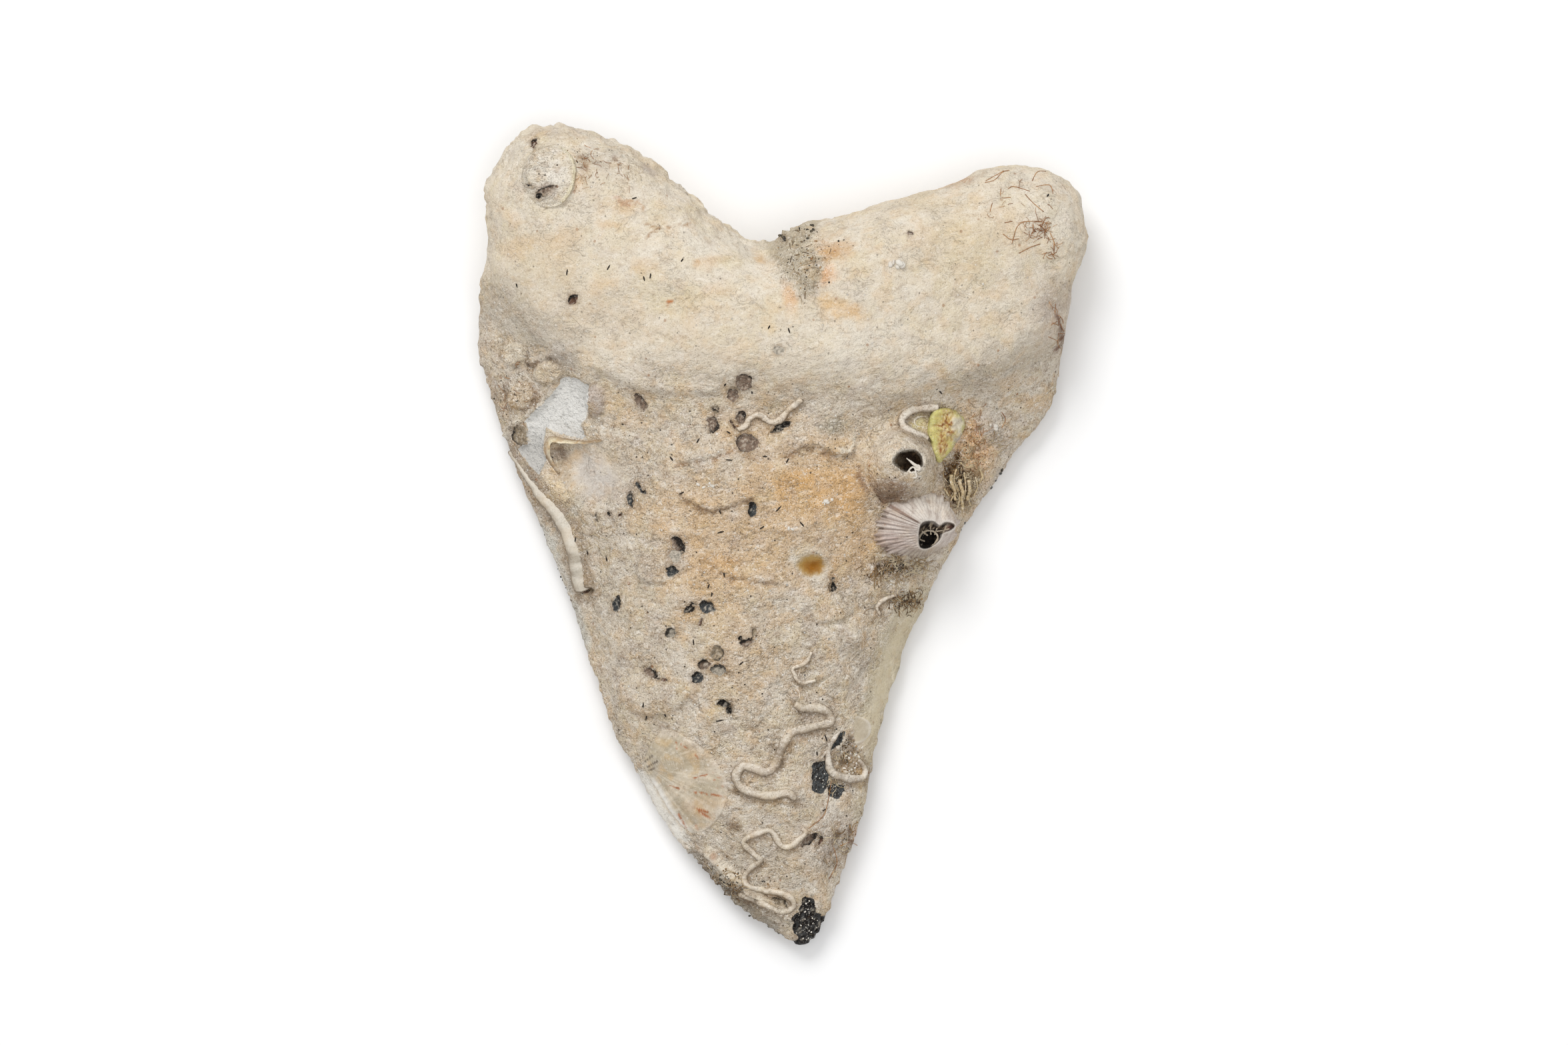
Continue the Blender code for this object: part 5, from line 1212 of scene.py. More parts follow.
def crust_material():
    """Fossil bone under lime crust: chalk-dry and grained, so it scatters light and has no gloss.

    Where it is worn away, the surface under it shows: chalky bone, pit floors, and enamel that still shines.
    """
    material, tree, shader, place = new_material("lime_crust_on_fossil_bone", 0.92, 0.2)
    tint = add(tree, "ShaderNodeAttribute", attribute_name="tint")
    colour, height, grain, dust = weathered(tree, place, tint)
    wear = add(tree, "ShaderNodeAttribute", output="Fac", attribute_name="wear")
    gloss = add(tree, "ShaderNodeAttribute", output="Fac", attribute_name="gloss")
    worn = where(tree, heaped(tree, (wear, 1.0), (grain, 0.35)), 0.63, 0.72)
    shining = where(tree, heaped(tree, (gloss, 1.0), (grain, 0.35)), 0.63, 0.72)
    under = add(tree, "ShaderNodeAttribute", attribute_name="under")
    under = stained(tree, under, "#231f1c", where(tree, grain, 0.56, 0.7, 0.25))
    under = stained(tree, under, "#d6cfc2", where(tree, dust, 0.62, 0.72, 0.4))
    colour = stained(tree, colour, under, worn)
    tree.links.new(add(tree, "ShaderNodeMapRange", {"Value": shining, "To Min": 0.92, "To Max": 0.45}),
                   shader.inputs["Roughness"])
    finished(tree, shader, colour, height, 0.8)
    return material


def lime_material(name, roughness, specular, strength, relief):
    """Lime laid down by an animal: its own painted tint with a little of the crust's weathering over it."""
    material, tree, shader, place = new_material(name, roughness, specular)
    tint = add(tree, "ShaderNodeAttribute", attribute_name="tint")
    colour, height, _, _ = weathered(tree, place, tint, strength)
    finished(tree, shader, colour, height, relief)
    return material


def spotted_material(name, roughness, low, high, size):
    """One substance in two shades, in spots of this size in millimetres."""
    material, tree, shader, place = new_material(name, roughness)
    spots = add(tree, "ShaderNodeTexNoise", {"Vector": place, "Scale": 1 / size, "Detail": 2.0})
    colour = stained(tree, linear(low), high, where(tree, spots, 0.38, 0.66))
    finished(tree, shader, colour, spots, 0.1)
    return material


def make_tooth(crust):
    mesh = refined_body()
    raise_relief(mesh)
    places = places_of(mesh)
    put_finish(mesh, *crust_colours(places))
    paint_wear(mesh, places)
    put_in_scene("tooth_crust", mesh, crust, "crusted_tooth", "tooth")
    return Ground(mesh)


def cup_rings(ground, foot, mouth, height, turns, levels):
    """Rings of a barnacle: each level gives its share of the way from foot to mouth, and its rise.

    Up to the foot a ring lies on the crust; above it, it leans with the ground under the whole piece.
    """
    foot_middle, mouth_middle = np.mean(foot, axis=0), np.mean(mouth, axis=0)
    outer, inner = turned(foot, foot_middle, turns), turned(mouth, mouth_middle, turns)
    base, slope = ground.plane(foot_middle, 5.0)
    rings = []
    for share, rise in levels:
        plan = outer + (inner - outer) * share if share <= 1.0 else mouth_middle + (inner - mouth_middle) * (2.0 - share)
        lean = base + (plan - foot_middle) @ np.array(slope)
        lying = ground.heights(plan)
        held = smooth_step(0.0, 0.45, share)
        rings.append(np.column_stack([plan, lying * (1 - held) + lean * held + rise * height]))
    return rings


def make_round_barnacle(ground, crust):
    """A worn barnacle whose plates have gone under the crust, with a torn opening and a hollow inside."""
    turns = np.linspace(-math.pi, math.pi, 170, endpoint=False)
    levels = (
        (-0.12, -0.25), (-0.06, -0.05), (0.0, 0.02), (0.06, 0.06), (0.12, 0.12), (0.18, 0.2), (0.24, 0.29), (0.3, 0.38),
        (0.36, 0.46), (0.42, 0.54), (0.48, 0.61), (0.54, 0.68), (0.6, 0.74), (0.66, 0.8), (0.72, 0.85), (0.78, 0.89),
        (0.84, 0.93), (0.89, 0.96), (0.93, 0.98), (0.97, 0.98), (1.0, 0.94), (1.02, 0.88),
        (1.0, 0.75), (0.99, 0.6), (0.98, 0.45), (0.98, 0.3), (1.2, 0.2), (1.5, 0.17), (1.8, 0.15),
    )
    rings = cup_rings(ground, ROUND_FOOT, ROUND_MOUTH, ROUND_HEIGHT, turns, levels)
    mesh = mesh_of("round_barnacle", stack_rings(rings))
    roughened(mesh, 0.2, 1.5, 61.0)
    roughened(mesh, 0.12, 0.7, 67.0)
    places = roughened(mesh, 0.06, 0.35, 68.0)
    tint, grit = crust_colours(places)
    plan = places[:, :2]
    inside = depth_inside(spline(ROUND_MOUTH, closed=True, steps=4), plan)
    streaks = rough(places * np.array((1.0, 0.5, 1.0)), 0.7, 62.0)
    tint = blended(tint, "#cfa877", 0.5 * bowl(plan, 10.8, 9.4, 2.2, 3.0))
    # Painted shade on the dome's lower left side, streaked, in this line and the next.
    tint = blended(tint, "#8d7059", (0.75 + 0.4 * streaks) * bowl(plan, 13.5, 5.5, 4.0, 2.3))
    tint = blended(tint, "#6f5a4a", 0.5 * bowl(plan, 13.0, 4.9, 2.6, 1.1))
    tint = blended(tint, "#ded2c0", 0.65 * bowl(plan, 13.2, 11.2, 3.4, 2.6))
    tint = blended(tint, "#c9b28c", 0.5 * bowl(plan, 18.6, 7.6, 1.4, 2.6))
    tint = blended(tint, "#d9cdb9", 0.5 * smooth_step(-1.3, -0.4, inside) * smooth_step(14.5, 16.5, plan[:, 0]))
    tint = blended(tint, "#e6dfd2", 0.85 * np.exp(-(inside / 0.17) ** 2))
    # Near black in the opening: painted shade in the hollow.
    tint = blended(tint, "#2c2119", smooth_step(0.0, 0.3, inside))
    tint = blended(tint, "#6f6352", 0.8 * smooth_step(0.15, 0.5, inside) * bowl(plan, 14.4, 9.3, 0.9, 1.2))
    put_finish(mesh, tint, grit + 0.3 * bowl(plan, 13.5, 5.8, 4.0, 2.6))
    paint_wear(mesh, places)
    put_in_scene("round_barnacle", mesh, crust, "crusted_tooth", "barnacle_round")


def make_round_inside(ground, plates):
    """What stands in the round barnacle's hollow: a pointed plate and a bit of comb with two holes."""
    top = ground.plane(np.mean(ROUND_FOOT, axis=0), 5.0)[0] + 0.84 * ROUND_HEIGHT
    shard = np.array([(17.3, 8.3, top - 0.7), (16.6, 8.9, top - 0.2), (15.6, 9.7, top - 0.1)])
    paths, radii = [along(shard, np.linspace(0, 1, 10))], [np.linspace(0.34, 0.05, 10)]
    for x, y, size in ((16.35, 8.15, 0.42), (16.5, 7.6, 0.36), (17.0, 8.5, 0.3), (15.9, 7.8, 0.25)):
        turn = np.linspace(0, 2 * math.pi, 15)
        wobble = 1.0 + 0.12 * np.sin(3 * turn + x)
        paths.append(np.column_stack([
            x + size * wobble * np.cos(turn), y + size * wobble * np.sin(turn), np.full(15, top - 0.35),
        ]))
        radii.append(0.11)
    mesh = strands("barnacle_comb", paths, radii, roundness=2)
    places = roughened(mesh, 0.05, 0.3, 71.0)
    put_finish(mesh, plain("#d9d2c6", len(places)), 0.6)
    put_in_scene("barnacle_comb", mesh, plates, "barnacle_plate")


def ribbed_share(angle):
    """How strongly the ribs show in each direction from the opening: most towards -X, faint on the upper plate."""
    left = np.where((angle > SUTURE) | (angle < -2.0), 1.0, 0.0)
    low = np.where((angle >= -2.0) & (angle < -1.2), 0.45, 0.0)
    return np.maximum(np.maximum(left, low), 0.12)


def make_ribbed_barnacle(ground, plates):
    """An acorn barnacle with fine ribs fanning from its opening, and comb lining the hollow."""
    turns = np.linspace(-math.pi, math.pi, 540, endpoint=False)
    levels = (
        (-0.06, -0.35), (-0.02, -0.1), (0.0, 0.06), (0.05, 0.15), (0.1, 0.23), (0.16, 0.31), (0.22, 0.38), (0.29, 0.46),
        (0.36, 0.54), (0.43, 0.61), (0.5, 0.68), (0.58, 0.75), (0.66, 0.81), (0.74, 0.87), (0.82, 0.92), (0.9, 0.96),
        (0.96, 0.98), (1.0, 0.97), (1.03, 0.88), (1.05, 0.75), (1.08, 0.62),
    )
    rings = cup_rings(ground, RIBBED_FOOT, RIBBED_MOUTH, RIBBED_HEIGHT, turns, levels)
    fan = ribbed_share(turns)
    rib = np.abs((turns * RIBS / math.pi) % 2.0 - 1.0)
    uneven = np.array([noise.noise(Vector((math.cos(t) * 6.0, math.sin(t) * 6.0, 0.0))) for t in turns])
    for ring in rings[:5]:
        ring[:, :2] += (ring[:, :2] - np.mean(RIBBED_FOOT, axis=0)) * (0.1 * (rib - 0.5) * fan + 0.12 * uneven)[:, None]
    for number, ring in enumerate(rings[:18]):
        reach = min(1.0, (number + 1) / 5)
        ring[:, 2] += (0.26 * (rib - 0.5) + 0.2 * uneven) * fan * reach * (1 - number / 22)
        ring[:, 2] -= 0.35 * np.exp(-((turns - SUTURE) / 0.04) ** 2)
    hole_middle = np.mean(RIBBED_HOLE, axis=0)
    hole = turned(RIBBED_HOLE, hole_middle, turns)
    last = rings[-1]
    drop = last[:, 2].mean()
    for share, fall in ((0.3, 0.35), (0.6, 0.5), (0.9, 0.6), (1.0, 0.75), (0.97, 1.4), (0.94, 2.0)):
        plan = last[:, :2] + (hole - last[:, :2]) * share
        comb = 0.3 * rough(np.column_stack([plan, np.zeros(len(plan))]), 0.5, 74.0)
        rings.append(np.column_stack([plan, drop - fall + comb * (share < 1.0)]))
    for share in (0.6, 0.2):
        rings.append(np.column_stack([hole_middle + (hole - hole_middle) * share, np.full(len(turns), drop - 2.1)]))
    mesh = mesh_of("ribbed_barnacle", stack_rings(rings))
    places = roughened(mesh, 0.07, 0.7, 73.0)
    plan = places[:, :2]
    inside = depth_inside(spline(RIBBED_MOUTH, closed=True, steps=4), plan)
    hole_in = depth_inside(spline(RIBBED_HOLE, closed=True, steps=4), plan)
    middle = np.mean(RIBBED_MOUTH, axis=0)
    angle = np.arctan2(plan[:, 1] - middle[1], plan[:, 0] - middle[0])
    grooves = smooth_step(0.5, 0.05, np.abs((angle * RIBS / math.pi) % 2.0 - 1.0))
    tint = plain("#cbbfb6", len(places))
    tint = blended(tint, "#dfd7cc", 0.8 * bowl(plan, 18.6, 3.6, 4.4, 2.6))
    tint = blended(tint, "#a3957f", 0.75 * bowl(plan, 18.6, -2.4, 4.4, 1.5))
    tint = blended(tint, "#b59c94", 0.45 * bowl(plan, 13.6, -0.8, 2.5, 1.6))
    tint = blended(tint, "#a08d80", 0.5 * smooth_step(0.0, 0.5, rough(places, 0.8, 75.0)))
    tint = blended(tint, "#7b665e", 0.7 * ribbed_share(angle) * grooves)
    tint = blended(tint, "#8f8078", 0.3 * grooves)
    tint = blended(tint, "#7d5f50", 0.85 * np.exp(-((angle - SUTURE) / 0.035) ** 2) * smooth_step(-0.1, -0.5, inside))
    tint = blended(tint, "#e9e2d8", 0.7 * np.exp(-((inside + 0.05) / 0.12) ** 2))
    comb = rough(places, 0.38, 79.0)
    # Near black inside the opening: dark debris and painted shade in the hollow, with pale comb over it.
    tint = blended(tint, "#1f1611", smooth_step(0.0, 0.2, inside))
    tint = blended(tint, "#a8967f", 0.85 * smooth_step(0.05, 0.3, inside) * smooth_step(0.2, 0.36, comb))
    tint = blended(tint, "#8f675a", 0.6 * smooth_step(0.05, 0.3, inside) * bowl(plan, 21.2, 0.9, 0.9, 0.8))
    # The hole itself: painted shade.
    tint = blended(tint, "#120d0a", smooth_step(-0.12, 0.05, hole_in))
    put_finish(mesh, tint, 0.7)
    put_in_scene("ribbed_barnacle", mesh, plates, "barnacle_plate", "barnacle_ribbed")
    edge = spline(RIBBED_HOLE, closed=True, steps=5)
    edge = np.vstack([edge, edge[:2]])
    paths = [np.column_stack([edge, np.full(len(edge), drop - 0.45)])]
    for start, end in (((17.6, 0.6), (18.3, 0.1)), ((18.6, 1.5), (18.7, 0.2)), ((19.6, 1.4), (19.2, 0.2)),
                       ((20.6, 1.3), (20.0, -0.2)), ((17.3, -0.4), (17.9, -0.6)), ((19.4, 0.6), (21.0, 0.9))):
        path = along(np.array([start, end], float), np.linspace(0, 1, 9))
        sag = -0.2 - 0.3 * np.sin(np.linspace(0, math.pi, 9))
        paths.append(np.column_stack([path, drop + sag]))
    mesh = strands("barnacle_ridges", paths, [0.12] + [0.09] * 6, roundness=2)
    places = roughened(mesh, 0.08, 0.4, 81.0)
    put_finish(mesh, plain("#bfb09b", len(places)), 0.8)
    put_in_scene("barnacle_ridges", mesh, plates, "barnacle_plate")


def make_low_barnacle(ground, crust):
    """A flat barnacle: a crusted dome that stands free along one crisp edge."""
    turns = np.linspace(-math.pi, math.pi, 170, endpoint=False)
    edge = turned(LOW_FOOT, LOW_MIDDLE, turns)
    free = (0.5 + 0.5 * np.cos(turns - 0.25)) ** 0.7
    middle = ground.height(*LOW_MIDDLE)
    rings = []
    outer = ((1.04, -0.9), (1.02, -0.4), (1.0, 0.0), (0.99, 0.5), (0.97, 0.8), (0.94, 0.87))
    for share, rise in outer + tuple((share, 1.0 - 0.14 * share) for share in np.linspace(0.9, 0.04, 22)):
        plan = np.array(LOW_MIDDLE) + (edge - np.array(LOW_MIDDLE)) * share
        lying = ground.heights(plan)
        lift = rise * free + (1 - free) * (smooth_step(1.02, 0.5, share) if rise >= 0 else rise)
        even = 0.5 * smooth_step(1.0, 0.85, share)
        sunk = 0.35 * (1 - free) * smooth_step(0.75, 1.0, share)
        rings.append(np.column_stack([plan, lying + even * (middle - lying) + 0.7 * LOW_RISE * lift - sunk]))
    mesh = mesh_of("low_barnacle", stack_rings(rings))
    roughened(mesh, 0.14, 1.4, 83.0)
    places = roughened(mesh, 0.09, 0.5, 89.0)
    places[:, 2] -= pitted(places)
    put_places(mesh, places)
    plan = places[:, :2]
    tint, grit = crust_colours(places)
    reach = depth_inside(spline(LOW_FOOT, closed=True, steps=4), plan)
    right = smooth_step(-28.5, -26.5, plan[:, 0])
    tint = blended(tint, "#dfd9ce", 0.6 * smooth_step(0.5, 2.5, reach) * smooth_step(-31.5, -29.0, plan[:, 0]))
    tint = blended(tint, "#c4b294", 0.4 * smooth_step(0.1, 0.5, rough(places, 0.8, 84.0)))
    tint = blended(tint, "#d9cfae", 0.8 * right * np.exp(-((reach - 0.2) / 0.25) ** 2))
    tint = blended(tint, "#8d7765", 0.6 * bowl(plan, -29.2, 43.0, 1.6, 1.0))
    put_finish(mesh, tint, grit + 0.2)
    paint_wear(mesh, places)
    put_in_scene("low_barnacle", mesh, crust, "crusted_tooth", "barnacle_low")


def make_tubes(ground, shell):
    """Worm tubes: lime laid down ring by ring, so each swells a little every half millimetre.

    Their tops carry a painted highlight, their lower sides painted shade, and the large tube painted shadow on its
    vertical stretch.
    """
    for number, (name, (radius, route)) in enumerate(TUBES.items()):
        tone, lift = TUBE_LOOKS.get(name, ("#d6cab6", 0.1))
        paths, radii = [], []
        for size, way in ((radius, route), *TUBE_BRANCHES.get(name, ())):
            path = ground.evened(way, 0.16, (lift if way is route else -0.4) * size, passes=8)
            path[:, :2] += 0.1 * size * np.column_stack([rough(path, 1.2, 95.0), rough(path, 1.2, 96.0)])
            reached = np.arange(len(path)) * 0.16
            swell = 0.04 * np.sin(reached * 2 * math.pi / 0.5) + 0.1 * np.sin(reached * 2 * math.pi / 2.9 + number)
            swell = 1.0 + swell * (size < 1.0)
            taper = np.minimum(1.0, 0.7 + 0.3 * np.minimum(reached, reached[::-1]) / 1.5)
            if name == "coiled_shell":
                taper = 0.4 + 0.6 * np.sin(np.pi * reached / reached[-1])
            if name == "tube_edge":
                taper = 0.35 + 0.65 * smooth_step(0.0, 12.0, reached)
            paths.append(path)
            radii.append(size * swell * taper)
        mesh = strands(name + "_lime", paths, radii, roundness=3)
        places, line = places_of(mesh), np.vstack(paths)
        nearest = np.argmin(np.linalg.norm(places[:, None, :2] - line[None, :, :2], axis=2), axis=1)
        places[:, 2] += (0.5 if name == "tube_edge" else 0.25) * (line[nearest, 2] - places[:, 2])
        put_places(mesh, places)
        roughened(mesh, 0.1, 0.6, 97.0 + number)
        places = roughened(mesh, 0.04, 0.28, 98.0 + number)
        tint, grit = crust_colours(places)
        facing = normals_of(mesh)
        tint = blended(tint, tone, np.full(len(places), 0.5))
        # Painted shadow on the large tube's vertical stretch.
        tint = blended(tint, "#86745f", 0.85 * bowl(places[:, :2], -0.2, -27.2, 1.3, 2.0))
        # Painted shade on each tube's lower side, and a painted highlight on its top.
        tint = blended(tint, "#85725c", 0.85 * smooth_step(0.85, 0.25, facing[:, 2] + 0.4 * facing[:, 1]))
        tint = blended(tint, "#f1eadf", 0.3 * smooth_step(0.8, 1.0, facing[:, 2] + 0.25 * facing[:, 1]))
        put_finish(mesh, tint, np.minimum(grit, 1.0) * (0.35 if name == "tube_edge" else 0.9))
        put_in_scene(name + "_lime", mesh, shell, "worm_tube", name)


def make_yellow_growth(ground, sponge):
    """A sponge-like yellow lobe: smooth and lemon at its edge, rusty and speckled in its middle."""
    turns = np.linspace(-math.pi, math.pi, 150, endpoint=False)
    middle = np.array(YELLOW_MIDDLE)
    edge = turned(YELLOW_OUTLINE, YELLOW_MIDDLE, turns)
    rings = []
    outer = ((1.03, -1.2), (1.0, 0.0), (0.98, 0.45), (0.95, 0.8), (0.91, 1.0))
    for share, rise in outer + tuple((share, 1.5 - 0.5 * share**2) for share in np.linspace(0.86, 0.05, 18)):
        plan = middle + (edge - middle) * share
        rings.append(np.column_stack([plan, ground.heights(plan) + rise]))
    mesh = mesh_of("yellow_lobe", stack_rings(rings))
    roughened(mesh, 0.22, 1.1, 101.0)
    places = roughened(mesh, 0.12, 0.45, 103.0)
    plan = places[:, :2]
    tint = plain("#c2ba72", len(places))
    reach = depth_inside(spline(YELLOW_OUTLINE, closed=True, steps=4), plan)
    left = smooth_step(20.6, 19.4, plan[:, 0])
    wobble = plan + 0.5 * np.stack([rough(places, 0.7, 107.0), rough(places, 0.7, 108.0)], -1)
    grains, crumbs = rough(places, 0.34, 109.0), rough(places, 0.3, 110.0)
    tint = blended(tint, "#ccc67e", 0.8 * left * smooth_step(1.0, 0.1, reach))
    rusty = np.maximum(bowl(wobble, 20.8, 13.9, 1.5, 2.2), bowl(wobble, 20.2, 11.4, 0.8, 1.9))
    tint = blended(tint, "#bb9557", 0.85 * rusty)
    tint = blended(tint, "#84491f", 0.95 * rusty * smooth_step(0.0, 0.2, grains))
    tint = blended(tint, "#e0cf9a", 0.8 * rusty * smooth_step(0.08, 0.3, crumbs))
    tint = blended(tint, "#a87c45", 0.5 * smooth_step(0.3, 0.5, grains) * smooth_step(0.3, 0.8, reach))
    tint = blended(tint, "#d9d0bb", 0.9 * bowl(wobble, 22.1, 13.9, 0.9, 1.5))
    tint = blended(tint, "#a89c96", 0.85 * bowl(wobble, 22.3, 11.9, 1.0, 1.1))
    put_finish(mesh, tint, 0.8)
    put_in_scene("yellow_lobe", mesh, sponge, "yellow_growth", "yellow_growth")


def make_fan_shell(ground, valve):
    """A thin valve lying flat: growth lines round its hinge and broken orange rays, its far edge under the crust."""
    turns = np.linspace(-math.pi, math.pi, 260, endpoint=False)
    middle = np.mean(FAN_OUTLINE, axis=0)
    edge = turned(FAN_OUTLINE, middle, turns)
    shares = (1.03, 1.0, 0.985, *np.linspace(0.965, 0.05, 27))
    plans = [middle + (edge - middle) * share for share in shares]
    even = np.array([ground.heights(plan) for plan in plans])
    for _ in range(10):
        even = (np.roll(even, 1, axis=1) + 2 * even + np.roll(even, -1, axis=1)) / 4
        even[1:-1] = (even[:-2] + 2 * even[1:-1] + even[2:]) / 4
    rings = []
    for share, plan, height in zip(shares, plans, even):
        from_hinge = np.linalg.norm(plan - np.array(FAN_HINGE), axis=1)
        angle = np.arctan2(plan[:, 1] - FAN_HINGE[1], plan[:, 0] - FAN_HINGE[0])
        clear = 0.08 + 0.3 * smooth_step(8.0, 3.0, from_hinge)
        dome = clear + 0.45 * (1 - share**2)
        rise = -0.9 if share > 1.01 else (-0.05 if share == 1.0 else dome)
        growth = 0.05 * np.sin(from_hinge * 2 * math.pi / 0.8) + 0.04 * np.cos(angle * 24)
        rings.append(np.column_stack([plan, height + rise + growth * (share < 0.99)]))
    mesh = mesh_of("fan_valve", stack_rings(rings))
    places = roughened(mesh, 0.08, 0.8, 112.0)
    plan = places[:, :2]
    tint = plain("#b5a890", len(places))
    cloud, hue = rough(places, 2.4, 113.0), rough(places, 1.6, 114.0)
    tint = blended(tint, "#d5c8b3", 0.7 * smooth_step(0.0, 0.45, cloud))
    tint = blended(tint, "#b3a99a", 0.6 * smooth_step(-0.05, -0.5, cloud))
    tint = blended(tint, "#c5a87c", 0.6 * smooth_step(0.05, 0.45, hue))
    reach = depth_inside(spline(FAN_OUTLINE, closed=True, steps=4), plan)
    lower_left = smooth_step(-11.5, -15.0, plan[:, 0] + 0.35 * (plan[:, 1] + 30))
    low = smooth_step(-29.5, -31.0, plan[:, 1])
    tint = blended(tint, "#e6e2da", 0.9 * lower_left * low * smooth_step(1.0, 0.2, reach))
    tint = blended(tint, "#c4a57a", 0.5 * bowl(plan, -10.6, -26.8, 2.4, 1.6))
    tint = blended(tint, "#c9a983", 0.45 * bowl(plan, -9.4, -33.8, 3.4, 1.8))
    angle = np.arctan2(plan[:, 1] - FAN_HINGE[1], plan[:, 0] - FAN_HINGE[0])
    rays = rough(np.column_stack([7.0 * angle, 0.1 * reach, np.zeros(len(plan))]), 0.35, 118.0)
    tint = blended(tint, "#9f8f78", 0.35 * smooth_step(0.1, 0.4, rays))
    tint = blended(tint, "#e2d8c6", 0.35 * smooth_step(-0.1, -0.4, rays))
    broken = smooth_step(-0.25, 0.1, rough(places, 0.5, 115.0))
    frayed = plan + 0.08 * np.stack([rough(places, 0.4, 116.0), rough(places, 0.4, 117.0)], -1)
    for start, end in FAN_DASHES:
        away = distance_to(np.array([start, end]), frayed)
        tint = blended(tint, "#a45a26", 0.95 * broken * smooth_step(0.2, 0.06, away))
    for groove in (((-17.0, -28.2), (-16.1, -27.5)), ((-16.7, -28.9), (-15.5, -28.2)), ((-16.6, -29.4), (-15.8, -29.0))):
        away = distance_to(np.array(groove), frayed)
        tint = blended(tint, "#54483c", 0.9 * smooth_step(0.16, 0.05, away))
    crust, grit = crust_colours(places)
    hem = smooth_step(1.3, 0.1, reach + 0.6 * rough(places, 1.1, 119.0)) * (1.0 - lower_left)
    tint = tint + (crust - tint) * np.clip(hem, 0.0, 1.0)[:, None]
    put_finish(mesh, tint, 0.6 + (grit - 0.6) * hem)
    put_in_scene("fan_valve", mesh, valve, "thin_shell", "fan_shell")


def make_oyster(ground, shell):
    """The standing rim of a cupped oyster: one thin wall, highest at its corner."""
    path = along(spline(OYSTER_WALL), np.linspace(0.0, 1.0, 90))
    run = np.gradient(path, axis=0)
    side = np.stack([-run[:, 1], run[:, 0]], -1) / np.linalg.norm(run, axis=1)[:, None]
    fraction = np.linspace(0.0, 1.0, len(path))
    tall = 0.3 + 1.6 * np.exp(-((fraction - 0.56) / 0.28) ** 2) + 0.1 * np.sin(fraction * 47)
    rings = []
    for (x, y), (across, upward), rise in zip(path, side, tall):
        foot = ground.height(x, y)
        flare = 0.35 * rise
        section = ((-0.16, -0.8), (0.3, -0.8), (0.14 - 0.3 * flare, 0.3 * rise), (0.06 - 0.7 * flare, 0.75 * rise),
                   (-0.01 - flare, rise), (-0.09 - flare, rise), (-0.12 - 0.7 * flare, 0.7 * rise),
                   (-0.14 - 0.3 * flare, 0.3 * rise))
        rings.append([(x - across * out, y - upward * out, foot + lift) for out, lift in section])
    mesh = mesh_of("oyster_rim", stack_rings(rings))
    places = roughened(mesh, 0.06, 0.6, 127.0)
    heights = places[:, 2] - ground.heights(places[:, :2])
    tint = plain("#d3c4a8", len(places))
    # Painted shade darkens the wall towards its foot, where it meets the crust; its top is paler.
    tint = blended(tint, "#8d7356", 0.9 * smooth_step(1.0, 0.2, heights))
    tint = blended(tint, "#e6dabb", 0.8 * smooth_step(0.8, 1.4, heights))
    tint = blended(tint, "#b58a52", 0.5 * smooth_step(0.1, 0.4, rough(places, 0.7, 128.0)))
    put_finish(mesh, tint, 0.7)
    put_in_scene("oyster_rim", mesh, shell, "thin_shell", "oyster_cup")


def make_saddle_shell(ground, valve):
    """A little round see-through shell by the coiled one: a flat dome with a pale edge."""
    turns = np.linspace(-math.pi, math.pi, 60, endpoint=False)
    middle = np.array((9.5, -24.2))
    wobble = 1.75 * (1 + 0.05 * np.sin(3 * turns + 1.0))
    rings = []
    for share, rise in ((1.05, -0.5), (1.0, 0.02), (0.95, 0.1), (0.88, 0.13), (0.78, 0.1), (0.6, 0.12), (0.4, 0.15), (0.2, 0.16)):
        plan = middle + share * wobble[:, None] * np.stack([np.cos(turns), np.sin(turns)], -1)
        sunk = 0.35 * smooth_step(0.3, -1.2, plan[:, 0] - middle[0])
        rings.append(np.column_stack([plan, ground.heights(plan) + rise - sunk]))
    mesh = mesh_of("saddle_shell", stack_rings(rings))
    places = places_of(mesh)
    reach = np.linalg.norm(places[:, :2] - middle, axis=1)
    tint = blended(plain("#b9ac95", len(places)), "#d3c9b8", smooth_step(1.3, 1.65, reach))
    put_finish(mesh, tint, 0.4)
    put_in_scene("saddle_shell", mesh, valve, "thin_shell")


def curl(random, start, heading, length, wander, spacing=0.22):
    """A wandering path in the plan."""
    path = [np.array(start, float)]
    turn = 0.0
    for _ in range(max(3, round(length / spacing))):
        turn = 0.75 * turn + wander * random.normal()
        heading += turn
        path.append(path[-1] + spacing * np.array((math.cos(heading), math.sin(heading))))
    return np.array(path)


def make_tuft(ground, felt, shell):
    """Three short worm tubes, and a felt of fine threads between them."""
    random = np.random.default_rng(5)
    paths, radii = [], []
    for route in TUFT_TUBES:
        path = ground.evened(route, 0.14, 0.75, passes=8)
        reached = np.arange(len(path)) * 0.14
        path[:, :2] += 0.1 * np.column_stack([np.sin(reached * 3.1 + route[0][0]), np.cos(reached * 2.3)])
        paths.append(path)
        radii.append(0.26 * (1 + 0.12 * np.sin(reached * 2 * math.pi / 0.4)) * (1 - 0.25 * reached / reached[-1]))
    for route in TUFT_STEMS:
        path = ground.evened(route, 0.14, 0.3, passes=4)
        paths.append(path)
        radii.append(0.11 * (1 + 0.2 * np.sin(np.arange(len(path)) * 1.7)))
    mesh = strands("tuft_tubes", paths, radii, roundness=2)
    places = roughened(mesh, 0.07, 0.4, 131.0)
    # Painted shade on the tubes' sides and undersides.
    tint = blended(plain("#c9b48c", len(places)), "#8a7350", 0.8 * smooth_step(0.6, 0.0, normals_of(mesh)[:, 2]))
    put_finish(mesh, tint, 0.9)
    put_in_scene("tuft_tubes", mesh, shell, "worm_tuft", "tube_tuft")
    scatter_threads(ground, "tuft_felt", felt, random, ((22.6, 5.9, 1.1, 1.5, 90, 1.6, 0.045),), 0.6)


